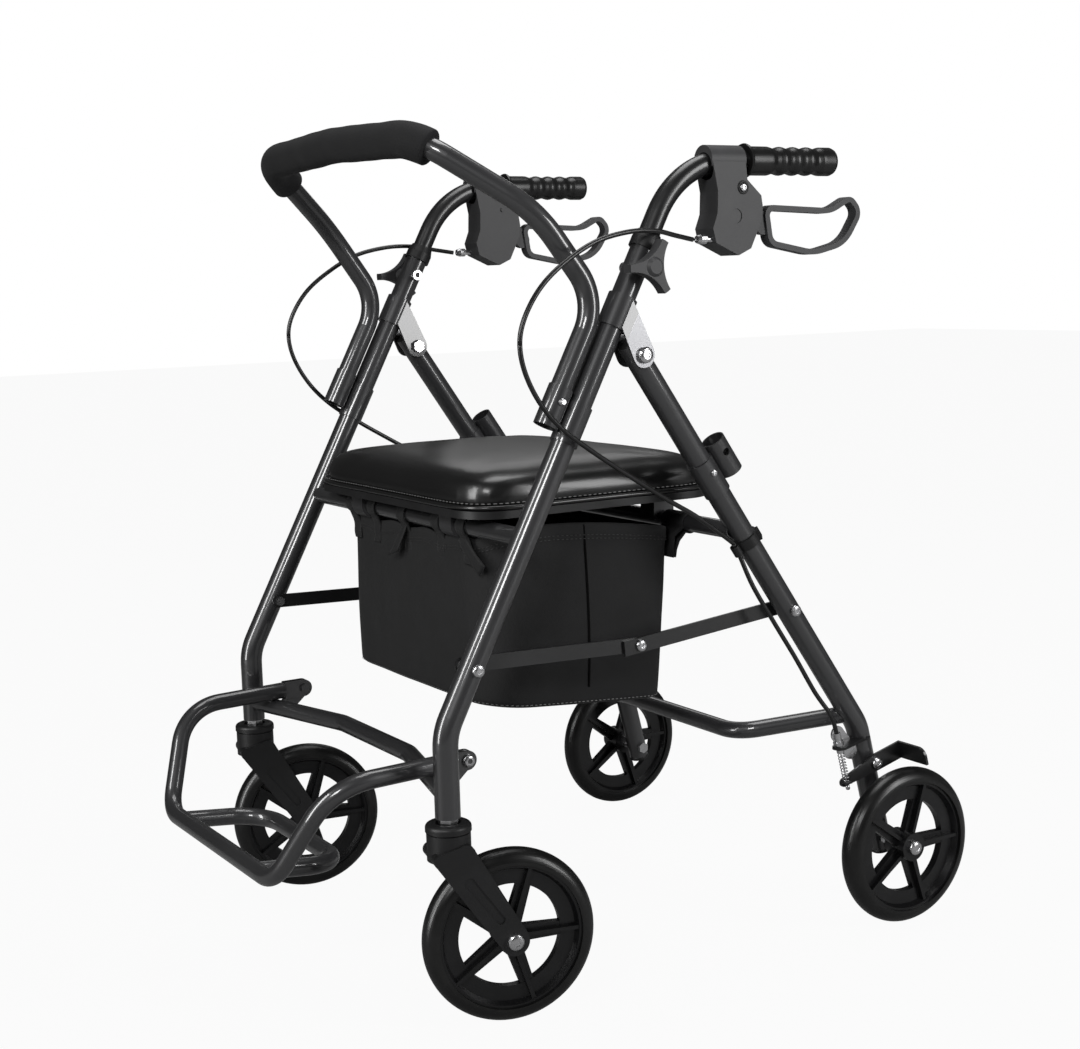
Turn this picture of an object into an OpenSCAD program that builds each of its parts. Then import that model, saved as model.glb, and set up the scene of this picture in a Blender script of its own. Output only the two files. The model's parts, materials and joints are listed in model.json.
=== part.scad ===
// Folding rollator walker with a seat, a bag, a reversible backrest and a folding footrest.
// X runs across the walker, with the user's left at +X. The front faces -Y. Z is up from the floor.
// All sizes are in millimetres and degrees.

/* [Wheels] */
// Diameter of all four wheels over the tyre
wheel_d = 178; // [165:1:190]
// Width of a tyre
tyre_w = 28; // [24:1:30]
// Height of a tyre above its rim
tyre_h = 15; // [12:0.5:18]
// Width of the rim band under the tyre
rim_w = 22; // [18:1:24]
// Radial depth of the rim from the band to the windows
rim_depth = 21; // [16:1:26]
// Thickness of the rim web and the spokes
web_t = 9; // [6:0.5:12]
// Spokes in a wheel
spoke_count = 5; // [4:1:6]
// Diameter of a wheel hub
hub_d = 32; // [26:1:38]
// Length of a wheel hub
hub_l = 30; // [28:1:32]
// Diameter of the axle bolts
axle_d = 8; // [6:0.5:9]

/* [Casters] */
// Turn of both casters about their stems
caster_turn = -14; // [-20:1:20]
// Distance from the caster stem back to the front axle
caster_trail = 58; // [52:1:62]
// Thickness of a fork arm
fork_arm_t = 7; // [5:0.5:9]
// Room between the tyre and a fork arm
fork_side_gap = 3; // [2:0.5:4]
// Room between the tyre and the arch of the fork
fork_arch_gap = 6; // [4:0.5:8]
// Diameter of the fork crown
crown_d = 44; // [40:1:50]
// Height of the fork crown above the top of the tyre
crown_rise = 33; // [30:1:36]
// Radius of the fork arm round the axle
fork_end_r = 15; // [13:0.5:18]
// Diameter of the stem bolt
stem_d = 12; // [10:0.5:14]
// Gap between the fork crown and the foot of the leg
stem_gap = 5; // [4:0.5:8]

/* [Tubes] */
// Outside diameter of the leg tubes
leg_d = 25.4; // [24.4:0.1:27]
// Wall of the leg tubes
leg_wall = 1.5; // [1.2:0.05:1.8]
// Outside diameter of the cross tubes, the seat bars and the footrest
bar_d = 19; // [16:0.5:21]
// Wall of the cross tubes, the seat bars and the footrest
bar_wall = 1.5; // [1:0.1:2]

/* [Front frame] */
// Distance from the middle plane to the leg tubes
half_track = 244; // [236:1:260]
// Place of the caster stem along Y
stem_y = -248; // [-254:1:-242]
// Height of the bend in the front leg
front_bend_z = 300; // [290:1:308]
// Lean of the front leg above its bend
front_tilt = 28; // [26:0.5:30]
// Length of the front leg from its bend to its top
front_run = 532; // [526:1:545]
// Bend radius of the legs
leg_bend_r = 60; // [45:1:70]
// Height of the front cross tube
front_cross_z = 237; // [232:1:244]
// How far the middle of the front cross tube is set back from the legs
front_cross_back = 43; // [30:1:48]
// Half width of the straight middle of the front cross tube
front_cross_half = 81; // [70:1:95]
// Height of the front seat bar
front_seat_bar_z = 482; // [476:1:488]
// Bend radius of the cross tubes
cross_bend_r = 45; // [30:1:55]

/* [Rear frame] */
// Place of the fold hinge along Y
hinge_y = -14; // [-18:0.5:-12]
// Height of the fold hinge
hinge_z = 656; // [650:1:660]
// Lean of the rear leg above its bend
rear_tilt = 34.3; // [33:0.1:35]
// Height of the bend in the rear leg
rear_bend_z = 225; // [218:1:230]
// Place of the rear axle along Y
rear_axle_y = 313.4; // [308:0.2:320]
// Tube left above the fold hinge
hinge_end = 15; // [13:0.5:16]
// Tube left below the rear axle
axle_end = 15; // [13:0.5:20]
// Room between the rear leg and the wheel hub
rear_wheel_gap = 15; // [14.5:0.1:18]
// Height of the rear seat bar
rear_seat_bar_z = 464; // [458:1:468]
// How far the rear seat bar lies in front of the rear leg's axis
rear_seat_bar_front = 9; // [6:0.5:10]
// Place of the middle of the rear cross tube along Y
rear_cross_y = 163; // [150:1:180]
// Height of the middle of the rear cross tube
rear_cross_z = 220; // [214:1:226]
// Height at which the rear cross tube meets the legs
rear_cross_end_z = 239; // [236:1:246]
// Half width of the straight middle of the rear cross tube
rear_cross_half = 175; // [150:1:180]

/* [Fold hinge] */
// Thickness of the hinge bracket plates
bracket_t = 2.5; // [2:0.1:3]
// Room between the rear leg and each bracket cheek
cheek_gap = 0.5; // [0.4:0.1:1]
// Radius of the bracket round the hinge bolt
bracket_r = 13; // [12:0.5:16]
// Place of the bracket band along the front leg
bracket_s = 435; // [431:1:438]
// Length of the bracket band along the front leg
bracket_l = 34; // [30:1:40]
// Diameter of the hinge bolt
hinge_bolt_d = 8; // [6:0.5:9]

/* [Side links] */
// Height of the front link pivot
link_front_z = 360; // [355:1:366]
// Height of the rear link pivot
link_rear_z = 370; // [364:1:376]
// Place of the knee along Y
knee_y = -5; // [-10:0.5:0]
// Height of the knee
knee_z = 352.5; // [349:0.5:356]
// Width of a link bar
link_w = 16; // [13:0.5:19]
// Thickness of a link bar
link_t = 3; // [2.5:0.1:3.4]
// Diameter of the link bolts
link_bolt_d = 6; // [5:0.25:7]
// Length of the rear link past the knee
knee_overlap = 20; // [16:0.5:24]

/* [Backrest] */
// Outside diameter of the backrest bar
back_d = 22.2; // [21:0.1:23]
// Wall of the backrest bar
back_wall = 1.5; // [1.2:0.1:2]
// Distance along the front leg to the foot of its socket
front_socket_s = 315; // [308:1:322]
// Length of a socket
socket_l = 42; // [40:1:50]
// Wall of a socket and of its band on the leg
socket_wall = 1.6; // [1.2:0.1:2]
// Length of the socket band on the leg
band_l = 42; // [36:1:48]
// How far the band reaches past the foot of its socket
band_drop = 7; // [4:0.5:10]
// Distance down the rear leg to the mouth of its socket
rear_socket_s = 131; // [124:1:137]
// Height of the lower bend in the backrest bar
back_bend_z = 712; // [706:1:718]
// Place of the middle bend across the walker
back_mid_x = 238; // [230:1:242]
// Place of the middle bend along Y
back_mid_y = -124; // [-130:1:-118]
// Height of the middle bend
back_mid_z = 800; // [794:1:806]
// Place of the top corner across the walker
back_corner_x = 177; // [170:1:184]
// Place of the top bar along Y
back_top_y = -221; // [-228:1:-214]
// Height of the top corner
back_corner_z = 873; // [868:1:877]
// Height of the middle of the top bar
back_top_z = 879; // [877:0.5:884]
// Outside diameter of the foam sleeve
foam_d = 37; // [32:1:40]
// Length of foam down each arm from the corner
foam_arm = 44; // [42:1:56]
// Diameter of the snap buttons
button_d = 8; // [6:0.5:9]
// How far a snap button stands out of its socket
button_out = 3.5; // [2.5:0.25:4.5]

/* [Seat] */
// Half width of the seat
seat_half = 200; // [190:1:206]
// Place of the front edge of the seat along Y
seat_front_y = -184; // [-190:1:-178]
// Place of the rear edge of the seat along Y
seat_rear_y = 136; // [130:1:142]
// Height of the seat board above the axis of the front seat bar
seat_rise = 13.5; // [13.5:0.5:18]
// Thickness of the seat board
board_t = 8; // [6:0.5:10]
// Height of the cushion from the board to its crown
cushion_h = 43; // [36:1:50]
// Distance of the seat clips from the middle
clip_x = 105; // [101:1:109]
// Width of a seat clip
clip_w = 26; // [20:1:28]
// Wall of a seat clip round its bar
clip_wall = 4; // [3:0.5:5]

/* [Bag] */
// Half width of the bag
bag_half = 171; // [160:1:180]
// Place of the front of the bag along Y
bag_front_y = -152; // [-158:1:-148]
// Place of the rear of the bag along Y, at its bottom
bag_rear_y = 67; // [62:1:72]
// How far the rim of the bag stands behind its bottom
bag_slant = 16; // [10:0.5:18]
// Height of the bag's rim
bag_top_z = 462; // [455:1:466]
// Height of the bag's bottom
bag_bottom_z = 284; // [278:1:292]
// Wall of the bag
bag_wall = 2.5; // [2:0.25:4]
// Radius along the bottom edges of the bag
bag_edge_r = 24; // [16:1:40]
// Radius of the upright corners of the bag
bag_corner_r = 30; // [20:1:45]
// Width of a bag strap
strap_w = 20; // [16:1:24]
// Thickness of a bag strap
strap_t = 1.8; // [1.4:0.1:2]
// Length of a strap's tail below the rim of the bag
strap_tail = 12; // [8:1:30]
// Distance between the bag straps
strap_pitch = 70; // [66:1:72]

/* [Handles] */
// Outside diameter of the handle tube
handle_d = 22.2; // [21.4:0.1:22.25]
// Height of the grip's axis at the lowest setting
grip_z = 850; // [844:1:856]
// Gap between the ring of the brake housing and the grip
grip_gap = 7; // [4:0.5:10]
// Length of a grip
grip_l = 119; // [110:1:125]
// Diameter of a grip
grip_d = 30; // [27:0.5:33]
// Finger grooves in a grip
groove_count = 4; // [3:1:6]
// Bend radius of the handle tube
handle_bend_r = 100; // [90:1:110]
// Length of handle tube inside the leg at the lowest setting
handle_insert = 232; // [228:1:245]
// Distance between the height holes
height_step = 25; // [20:0.5:25]
// Height settings above the lowest one
height_steps = 6; // [4:1:6]
// Distance from the top of the leg down to the clamp bolt
clamp_drop = 30; // [26:0.5:34]
// Diameter of the clamp bolt
clamp_bolt_d = 6; // [5:0.25:7]
// Reach of the knob's three wings
knob_r = 29; // [24:0.5:32]
// Least radius of the knob between its wings
knob_waist = 11; // [9:0.5:13]
// Width of the knob's wings at their tips
knob_tip = 8; // [6:0.5:10]
// Thickness of the knob's wings
knob_t = 13; // [10:0.5:16]

/* [Hand brakes] */
// Thickness of the brake housing
housing_t = 31; // [28:0.5:34]
// Wall of the housing round the handle tube
housing_wall = 4.5; // [3.5:0.25:5]
// Place of the lever pivot along Y
lever_y = 114; // [112:0.5:116]
// Drop of the lever pivot below the grip's axis
lever_drop = 28; // [26.5:0.5:29]
// Thickness of the lever inside the housing
lever_t = 8; // [6:0.5:9]
// Width of the lever's loop
loop_w = 13; // [10:0.5:16]
// Thickness of the loop's strand
loop_t = 6; // [5:0.25:7]
// Diameter of the lever pivot pin
lever_pin_d = 5; // [4:0.25:6]

/* [Wheel brakes] */
// Height of the brake arm pivot above the top of the tyre
brake_rise = 5; // [4.5:0.5:8]
// Thickness of the brake arm
brake_t = 3; // [2.5:0.1:4]
// Diameter of the brake arm bolt
brake_bolt_d = 6; // [5:0.25:7]
// Width of the brake arm
arm_w = 20; // [17:0.5:20.5]
// Length of the brake arm from its pivot to the pedal
arm_l = 40; // [36:0.5:42]
// Rise of the brake arm towards the pedal
arm_tilt = 14; // [13:0.5:18]
// Width of the brake pedal across the tyre
pedal_w = 44; // [40:1:48]
// Drop of the cable hook below the brake pivot
hook_drop = 13; // [11:0.5:15]
// Lean of the spring and the cable above the hook
hook_lean = 14; // [8:0.5:18]
// Distance of the cable hook in front of the brake pivot
hook_reach = 47; // [45:0.5:49]
// Distance from the cable hook up to the cable stop
stop_rise = 42; // [38:0.5:46]
// Outside diameter of the brake spring
spring_d = 8; // [7:0.25:9]
// Wire diameter of the brake spring
spring_wire = 1.2; // [1:0.05:1.4]
// Curls in the brake spring
spring_curls = 9; // [7:1:11]

/* [Cables] */
// Outside diameter of the brake cable
cable_d = 5; // [4.2:0.1:5.4]
// Drop of the cable clip on the rear leg below the rear seat bar
clip_drop = 16; // [15:0.5:20]
// Diameter of the barrel in the cable stop
barrel_d = 8; // [7:0.25:9]

/* [Footrest] */
// Distance of the footrest arms inside the legs
foot_arm_in = 44; // [40:0.5:50]
// Distance of the footrest hinge behind the caster stem
foot_hinge_back = 46; // [44:0.5:50]
// Place of the bend where the arms turn down along Y
foot_bend_y = -350; // [-356:1:-344]
// Drop of the arms from the hinge to that bend
foot_bend_drop = 3; // [1:0.5:10]
// Place of the front bar along Y
foot_front_y = -392.9; // [-400:0.1:-388]
// Height of the front bar
foot_front_z = 152; // [147:1:158]
// Half width of the front bar
foot_front_half = 146; // [138:1:152]
// Place of the rear of the heel loop along Y
heel_rear_y = -297; // [-306:1:-295]
// Half width of the heel loop
heel_half = 104; // [95:1:110]
// Height of the rear of the heel loop
heel_rear_z = 141; // [138:1:146]
// Diameter of the footrest hinge bolts
foot_bolt_d = 6; // [5:0.25:7]

/* [Fits] */
// Gap left where one tube is fitted to another before welding
weld_gap = 0.2; // [0.1:0.05:0.3]
// Radial clearance of parts that turn or slide on each other
running_gap = 0.08; // [0.05:0.01:0.1]
// Radial clearance of parts that are clamped or pressed together
seat_gap = 0.1; // [0.05:0.01:0.15]
// Room between faces that move past each other
pass_gap = 0.4; // [0.3:0.05:0.6]

/* [Hidden] */
$fn = 64;

paint = "#3d3f42";
black_plastic = "#1c1c1e";
grey_plastic = "#2a2b2d";
bright_steel = "#c9ccd0";
vinyl = "#111112";
nylon = "#161617";
rubber = "#0d0d0e";

// Gap between a run of tube and its bend, and half the length of the ring that joins them
hair = 0.01;
bridge = 1.5;
// How far the straight sides of an outline lie inside its round ends, so that the two cross cleanly
bite = 0.2;

// Derived places on the wheels and casters
wheel_r = wheel_d / 2;
rim_r = wheel_r - tyre_h;
crown_top_z = wheel_d + crown_rise;
nut_sink = 4;
leg_foot_z = crown_top_z + stem_gap;
fork_half = tyre_w / 2 + fork_side_gap + fork_arm_t;
rear_wheel_x = half_track + leg_d / 2 + rear_wheel_gap + hub_l / 2;

// Derived places on the front frame
leg_bore = leg_d - 2 * leg_wall;
front_up = [0, sin(front_tilt), cos(front_tilt)];
front_bend = [half_track, stem_y, front_bend_z];
link_front_y = front_y(link_front_z);
front_seat_bar_y = front_y(front_seat_bar_z);
seat_under_z = front_seat_bar_z + seat_rise;

// Derived places on the rear frame
rear_up = [0, -sin(rear_tilt), cos(rear_tilt)];
hinge = [half_track, hinge_y, hinge_z];
rear_bend = [half_track, rear_y(rear_bend_z), rear_bend_z];
rear_axle = [half_track, rear_axle_y, wheel_r];
foot_dir = unit(rear_axle - rear_bend);
link_rear_y = rear_y(link_rear_z);
rear_seat_bar_y = rear_y(rear_seat_bar_z) - rear_seat_bar_front;

// Planes of the two link bars, from the leg inwards
outer_link_x = half_track - leg_d / 2 - 1.3;
inner_link_x = outer_link_x - link_t - pass_gap;

// Sockets lie beside the legs at this distance
socket_bore = back_d + 2 * seat_gap;
socket_off = leg_d / 2 + seat_gap + 2 * socket_wall - 0.4 + socket_bore / 2;
front_socket_foot = front_at(front_socket_s) - front_side() * socket_off;
button_s = front_socket_s + 27;

// Hand brake and wheel brake places
lever_z = grip_z - lever_drop;
brake_z = wheel_d + brake_rise;
brake_y = foot_y(brake_z);
brake_x = half_track + leg_d / 2 + 5.5;
hook_y = brake_y - hook_reach;
hook_z = brake_z - hook_drop;
hook_x = brake_x + brake_t + 3.5;
housing_ring_end = 5;
grip_y = lever_y + housing_ring_end + grip_gap;
grip_end_y = grip_y + grip_l;
adjuster_x = half_track + 8;
adjuster_y = lever_y - 40;
adjuster_z = grip_z - 80;

// Black tab that holds the cable stop, and the clip that holds the cable
stop = hook_at([0, 0, stop_rise]);
barrel_below = 6;
barrel_l = 24;
tab_t = 3;
clip_s = rear_s(rear_seat_bar_z - clip_drop);
clip_h = 12;
clip_wall_t = 2;
clip_ring_r = leg_d / 2 + seat_gap;
clip_lug_turn = 40;
cable_hole = [3.5, -clip_ring_r - clip_wall_t - cable_d / 2 - 1];

// Footrest hinge: the arms lie on the front cross tube
foot_arm_x = half_track - foot_arm_in;
foot_hinge_y = stem_y + foot_hinge_back;
foot_hinge_z = front_cross_z + bar_d + pass_gap;
foot_end = 25;
foot_lug_t = 5;

// Route of the left brake cable from the hand brake, through the clip, to the cable stop
cable_route = [
    [adjuster_x, adjuster_y - 20, adjuster_z], [257, 30, 774], [262, 0, 779], [265, -35, 778],
    [268, -75, 769], [269, -110, 751], [271, -140, 728], [272, -160, 700], [272, -167, 674],
    [271, -161, 645], [269, -143, 614], [267, -117, 588], [263, -83, 565], [259, -47, 543],
    [255, -11, 522], [251, 24, 502], [249, 58, 483], clip_at(1.5 * clip_h), clip_at(clip_h), clip_at(0),
    [252, 127, 403], [256, 152, 361], [260, 178, 319], [263, 203, 277],
    hook_at([-1, -2, stop_rise + 40]), hook_at([0, 0, stop_rise + barrel_l - barrel_below + 0.6])
];

// Lines along the legs
function unit(v) = v / norm(v);
function front_y(z) = stem_y + (z - front_bend_z) * tan(front_tilt);
function front_at(s) = front_bend + front_up * s;
function front_side() = [0, cos(front_tilt), -sin(front_tilt)];
function front_s(z) = (z - front_bend_z) / cos(front_tilt);
function rear_y(z) = hinge_y + (hinge_z - z) * tan(rear_tilt);
function rear_at(s) = hinge - rear_up * s;
function rear_side() = [0, cos(rear_tilt), sin(rear_tilt)];
function foot_y(z) = rear_bend.y + foot_dir.y / foot_dir.z * (z - rear_bend.z);
function rear_s(z) = (hinge_z - z) / cos(rear_tilt);
function clip_at(h) = rear_at(clip_s) + rear_up * h + rear_side() * cable_hole.y + [cable_hole.x, 0, 0];
function flip_x(p) = [for (i = [len(p) - 1:-1:0]) [-p[i].x, p[i].y, p[i].z]];

// Turn at a corner, and the straight length that its bend takes up
function turn(a, b, c) = acos(max(-1, min(1, unit(b - a) * unit(c - b))));
function bend_cut(a, b, c, r) = r * tan(turn(a, b, c) / 2);
// Places on the leaning axis of the cable hook
function hook_at(v) = [
    hook_x + v.x,
    hook_y + v.y * cos(hook_lean) - v.z * sin(hook_lean),
    hook_z + v.y * sin(hook_lean) + v.z * cos(hook_lean)
];

// Builds on the left, or mirrors the same shape to the right
module on_side(side) {
    if (side > 0)
        children();
    else
        mirror([1, 0, 0]) children();
}

module both_sides() {
    on_side(1) children();
    on_side(-1) children();
}

// Stands children on the front or rear leg, with Z along the leg and Y to its rear
module on_front_leg(s) {
    translate(front_at(s)) rotate([-front_tilt, 0, 0]) children();
}

module on_rear_leg(s) {
    translate(rear_at(s)) rotate([rear_tilt, 0, 0]) children();
}

module at_hook() {
    translate([hook_x, hook_y, hook_z]) rotate([hook_lean, 0, 0]) children();
}

// Lays an outline drawn in Y and Z flat against X, from x to x + t
module side_plate(x, t) {
    translate([x, 0, 0]) rotate([90, 0, 90]) linear_extrude(t) children();
}

module x_rod(x, y, z, d, l) {
    translate([x, y, z]) rotate([0, 90, 0]) cylinder(d = d, h = l);
}

// Ends of the line that touches two circles on the right-hand side, from p to q
function outer_line(p, rp, q, rq) =
    let (a = atan2(q.y - p.y, q.x - p.x) - acos((rp - rq) / norm(q - p)), side = [cos(a), sin(a)])
    [p + rp * side, q + rq * side];

// Outline of a bar with two round ends of different radius
module taper_outline(p, rp, q, rq) {
    translate(p) circle(rp);
    translate(q) circle(rq);
    polygon(concat(outer_line(p, rp - bite, q, rq - bite), outer_line(q, rq - bite, p, rp - bite)));
}

// Rectangle centred on the origin with round corners
module round_outline(w, l, r) {
    square([w - 2 * r, l], center = true);
    square([w, l - 2 * r], center = true);
    for (x = [-1, 1], y = [-1, 1])
        translate([x * (w / 2 - r), y * (l / 2 - r)]) circle(r);
}

module bar_between(a, b, d) {
    v = b - a;
    translate(a) rotate([0, acos(v.z / norm(v)), atan2(v.y, v.x)]) cylinder(d = d, h = norm(v));
}

// Places children in the plane of a bend, with X to the start of the bend and Z along its axis
module at_bend(a, b, c, r) {
    u = unit(b - a);
    w = unit(c - b);
    n = unit(w - (w * u) * u);
    m = b - u * bend_cut(a, b, c, r) + n * r;
    z = cross(-n, u);
    multmatrix([[-n.x, u.x, z.x, m.x], [-n.y, u.y, z.y, m.y], [-n.z, u.z, z.z, m.z], [0, 0, 0, 1]])
        children();
}

// Straight ends of one run of a bent bar
function run_start(p, radii, i) =
    i == 0 ? p[0]
    : p[i] + unit(p[i + 1] - p[i]) * bend_cut(p[i - 1], p[i], p[i + 1], radii[i - 1]);
function run_end(p, radii, i) =
    i == len(p) - 2 ? p[i + 1]
    : p[i + 1] - unit(p[i + 1] - p[i]) * bend_cut(p[i], p[i + 1], p[i + 2], radii[i]);

// Tube along straight runs with a true bend at each corner. A run stops a hair short of its bend, and a
// ring inside the wall joins the two, so that every face stays a true cylinder or torus.
module tube_between(a, b, d, wall) {
    e = unit(b - a);
    difference() {
        bar_between(a, b, d);
        bar_between(a - e, b + e, d - 2 * wall);
    }
}

module bent_tube(p, radii, d, wall) {
    last = len(p) - 2;
    for (i = [0:last]) {
        e = unit(p[i + 1] - p[i]);
        a = run_start(p, radii, i) + e * (i == 0 ? 0 : hair);
        b = run_end(p, radii, i) - e * (i == last ? 0 : hair);
        tube_between(a, b, d, wall);
        if (i > 0)
            tube_between(a - e * bridge, a + e * bridge, d - 0.4 * wall, 0.6 * wall);
        if (i < last)
            tube_between(b - e * bridge, b + e * bridge, d - 0.4 * wall, 0.6 * wall);
    }
    for (i = [1:last])
        at_bend(p[i - 1], p[i], p[i + 1], radii[i - 1])
            rotate_extrude(angle = turn(p[i - 1], p[i], p[i + 1]))
                translate([radii[i - 1], 0]) difference() {
                    circle(d = d);
                    circle(d = d - 2 * wall);
                }
}

// Flat strip of width w across X and thickness t along a path in the Y and Z plane, joined like a tube
module strip_between(a, b, w, t) {
    v = b - a;
    translate(a) rotate([atan2(v.z, v.y), 0, 0]) translate([-w / 2, 0, -t / 2]) cube([w, norm(v), t]);
}

module bent_strip(p, radii, w, t) {
    last = len(p) - 2;
    for (i = [0:last]) {
        e = unit(p[i + 1] - p[i]);
        a = run_start(p, radii, i) + e * hair;
        b = run_end(p, radii, i) - e * hair;
        strip_between(a, b, w, t);
        if (i > 0)
            strip_between(a - e * bridge, a + e * bridge, w - 2, t - 2);
        if (i < last)
            strip_between(b - e * bridge, b + e * bridge, w - 2, t - 2);
    }
    for (i = [1:last])
        at_bend(p[i - 1], p[i], p[i + 1], radii[i - 1])
            rotate_extrude(angle = turn(p[i - 1], p[i], p[i + 1]))
                translate([radii[i - 1], 0]) square([t, w], center = true);
}

// One triangle mesh swept along a path with a round section of the given sides
function frames(p) = [
    for (
        i = 0, t = unit(p[1] - p[0]), n = unit(cross(t, [0.37, 0.21, 0.9]));
        i < len(p);
        i = i + 1,
        t = i < len(p) ? unit(p[min(i + 1, len(p) - 1)] - p[i - 1]) : t,
        n = i < len(p) ? unit(n - (n * t) * t) : n
    ) [t, n, cross(t, n)]
];
module swept(p, d, sides) {
    f = frames(p);
    n = len(p);
    points = concat(
        [for (i = [0:n - 1], k = [0:sides - 1])
            p[i] + d / 2 * (cos(360 * k / sides) * f[i][1] + sin(360 * k / sides) * f[i][2])],
        [p[0], p[n - 1]]
    );
    walls = [for (i = [0:n - 2], k = [0:sides - 1], h = [0, 1])
        let (a = i * sides + k, b = i * sides + (k + 1) % sides)
        h == 0 ? [a, a + sides, b] : [b, a + sides, b + sides]];
    ends = [for (k = [0:sides - 1], h = [0, 1])
        h == 0 ? [n * sides, k, (k + 1) % sides]
        : [n * sides + 1, (n - 1) * sides + (k + 1) % sides, (n - 1) * sides + k]];
    polyhedron(points, concat(walls, ends));
}

// Smooth curve through chosen points, with steps to each stretch
function on_curve(a, b, c, d, u) =
    0.5 * (2 * b + (c - a) * u + (2 * a - 5 * b + 4 * c - d) * u * u + (3 * b - a - 3 * c + d) * u * u * u);
function smooth(p, steps) = concat(
    [for (i = [0:len(p) - 2], k = [0:steps - 1])
        on_curve(p[max(i - 1, 0)], p[i], p[i + 1], p[min(i + 2, len(p) - 1)], k / steps)],
    [p[len(p) - 1]]
);

// Bolt along X with a domed head at its outer end and a nut at its inner end
module cross_bolt(y, z, inner_x, outer_x, d) {
    head_h = 0.6 * d;
    x_rod(inner_x - head_h, y, z, d, outer_x - inner_x + 2 * head_h);
    translate([outer_x, y, z]) rotate([0, 90, 0]) cylinder(d1 = 2 * d, d2 = 1.5 * d, h = head_h);
    translate([inner_x - head_h, y, z]) rotate([0, 90, 0]) cylinder(d = 1.9 * d, h = head_h, $fn = 6);
}

// Front frame
module front_leg(side) {
    top = front_at(front_run);
    foot = [half_track, stem_y, leg_foot_z];
    color(paint) on_side(side) difference() {
        union() {
            bent_tube([foot, front_bend, top], [leg_bend_r], leg_d, leg_wall);
            translate(foot + [0, 0, 1]) cylinder(d = leg_bore + leg_wall, h = 30);
        }
        translate(foot - [0, 0, 1]) cylinder(d = stem_d + 2 * running_gap, h = 34);
        x_rod(half_track - leg_d, link_front_y, link_front_z, link_bolt_d + 2 * seat_gap, 2 * leg_d);
        on_front_leg(front_run - clamp_drop)
            x_rod(-leg_d, 0, 0, clamp_bolt_d + 2 * running_gap, 2 * leg_d);
    }
}

module front_cross_tube() {
    p = [half_track, stem_y, front_cross_z];
    q = [front_cross_half, stem_y + front_cross_back, front_cross_z];
    run_y = stem_y + front_cross_back * foot_arm_in / (half_track - front_cross_half);
    lug_y = run_y + bar_d / 2 + foot_lug_t;
    color(paint) {
        difference() {
            bent_tube(concat([p, q], flip_x([p, q])), [cross_bend_r, cross_bend_r], bar_d, bar_wall);
            both_sides()
                translate(p - [0, 0, bar_d]) cylinder(d = leg_d + 2 * weld_gap, h = 2 * bar_d);
        }
        both_sides() difference() {
            side_plate(foot_arm_x - foot_lug_t / 2, foot_lug_t)
                taper_outline([lug_y, front_cross_z + 2], 9, [foot_hinge_y, foot_hinge_z], 9);
            x_rod(foot_arm_x - foot_lug_t, foot_hinge_y, foot_hinge_z,
                foot_bolt_d + 2 * running_gap, 2 * foot_lug_t);
            bar_between(p, q, bar_d - bar_wall);
        }
    }
}

module front_seat_bar() {
    color(paint) difference() {
        seat_bar(front_seat_bar_y, front_seat_bar_z);
        both_sides() bar_between(front_at(0), front_at(front_run), leg_d + 2 * weld_gap);
    }
}

// Straight tube across the walker from leg axis to leg axis
module seat_bar(y, z) {
    difference() {
        x_rod(-half_track, y, z, bar_d, 2 * half_track);
        x_rod(-half_track - 1, y, z, bar_d - 2 * bar_wall, 2 * half_track + 2);
    }
}

// Where a line from a point touches a circle, on its right-hand or left-hand side
function touch(c, r, p, side) =
    let (v = p - c, a = atan2(v.y, v.x) + side * acos(r / norm(v)))
    c + r * [cos(a), sin(a)];

module hinge_brackets() {
    inner = leg_d / 2 + cheek_gap;
    edge = 2;
    root = 3;
    pivot = [hinge_y, hinge_z];
    low = front_at(bracket_s + edge) + front_side() * root;
    high = front_at(bracket_s + bracket_l - edge) + front_side() * root;
    low_yz = [low.y, low.z];
    high_yz = [high.y, high.z];
    color(bright_steel) both_sides() difference() {
        union() {
            on_front_leg(bracket_s) cylinder(r = inner + bracket_t - 0.4, h = bracket_l);
            for (x = [half_track - inner - bracket_t, half_track + inner])
                side_plate(x, bracket_t) {
                    translate(pivot) circle(bracket_r);
                    polygon([
                        low_yz, high_yz,
                        touch(pivot, bracket_r, high_yz, -1), touch(pivot, bracket_r, low_yz, 1)
                    ]);
                }
        }
        on_front_leg(bracket_s - bracket_l) cylinder(d = leg_d + 2 * seat_gap, h = 3 * bracket_l);
        x_rod(half_track - 2 * inner, hinge_y, hinge_z, hinge_bolt_d + 2 * seat_gap, 4 * inner);
        translate([half_track - inner, hinge_y, hinge_z]) rotate([0, 90, 0])
            cylinder(r = norm([hinge_end, leg_d / 2]) + pass_gap, h = 2 * inner);
    }
}

// Band round the leg with an open socket beside it, standing at the origin
module double_barrel(toward) {
    socket_d = socket_bore + 2 * socket_wall;
    difference() {
        union() {
            translate([0, 0, -band_drop])
                cylinder(d = leg_d + 2 * seat_gap + 2 * socket_wall, h = band_l);
            translate([0, toward * socket_off, 0]) cylinder(d = socket_d, h = socket_l);
        }
        translate([0, 0, -band_drop - 1]) cylinder(d = leg_d + 2 * seat_gap, h = socket_l + band_l);
        translate([0, toward * socket_off, -1]) cylinder(d = socket_bore, h = socket_l + 2);
        x_rod(0, toward * socket_off, button_s - front_socket_s, button_d + 2 * running_gap, socket_d);
    }
}

module front_sockets() {
    color(paint) both_sides() on_front_leg(front_socket_s) double_barrel(-1);
}

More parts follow.
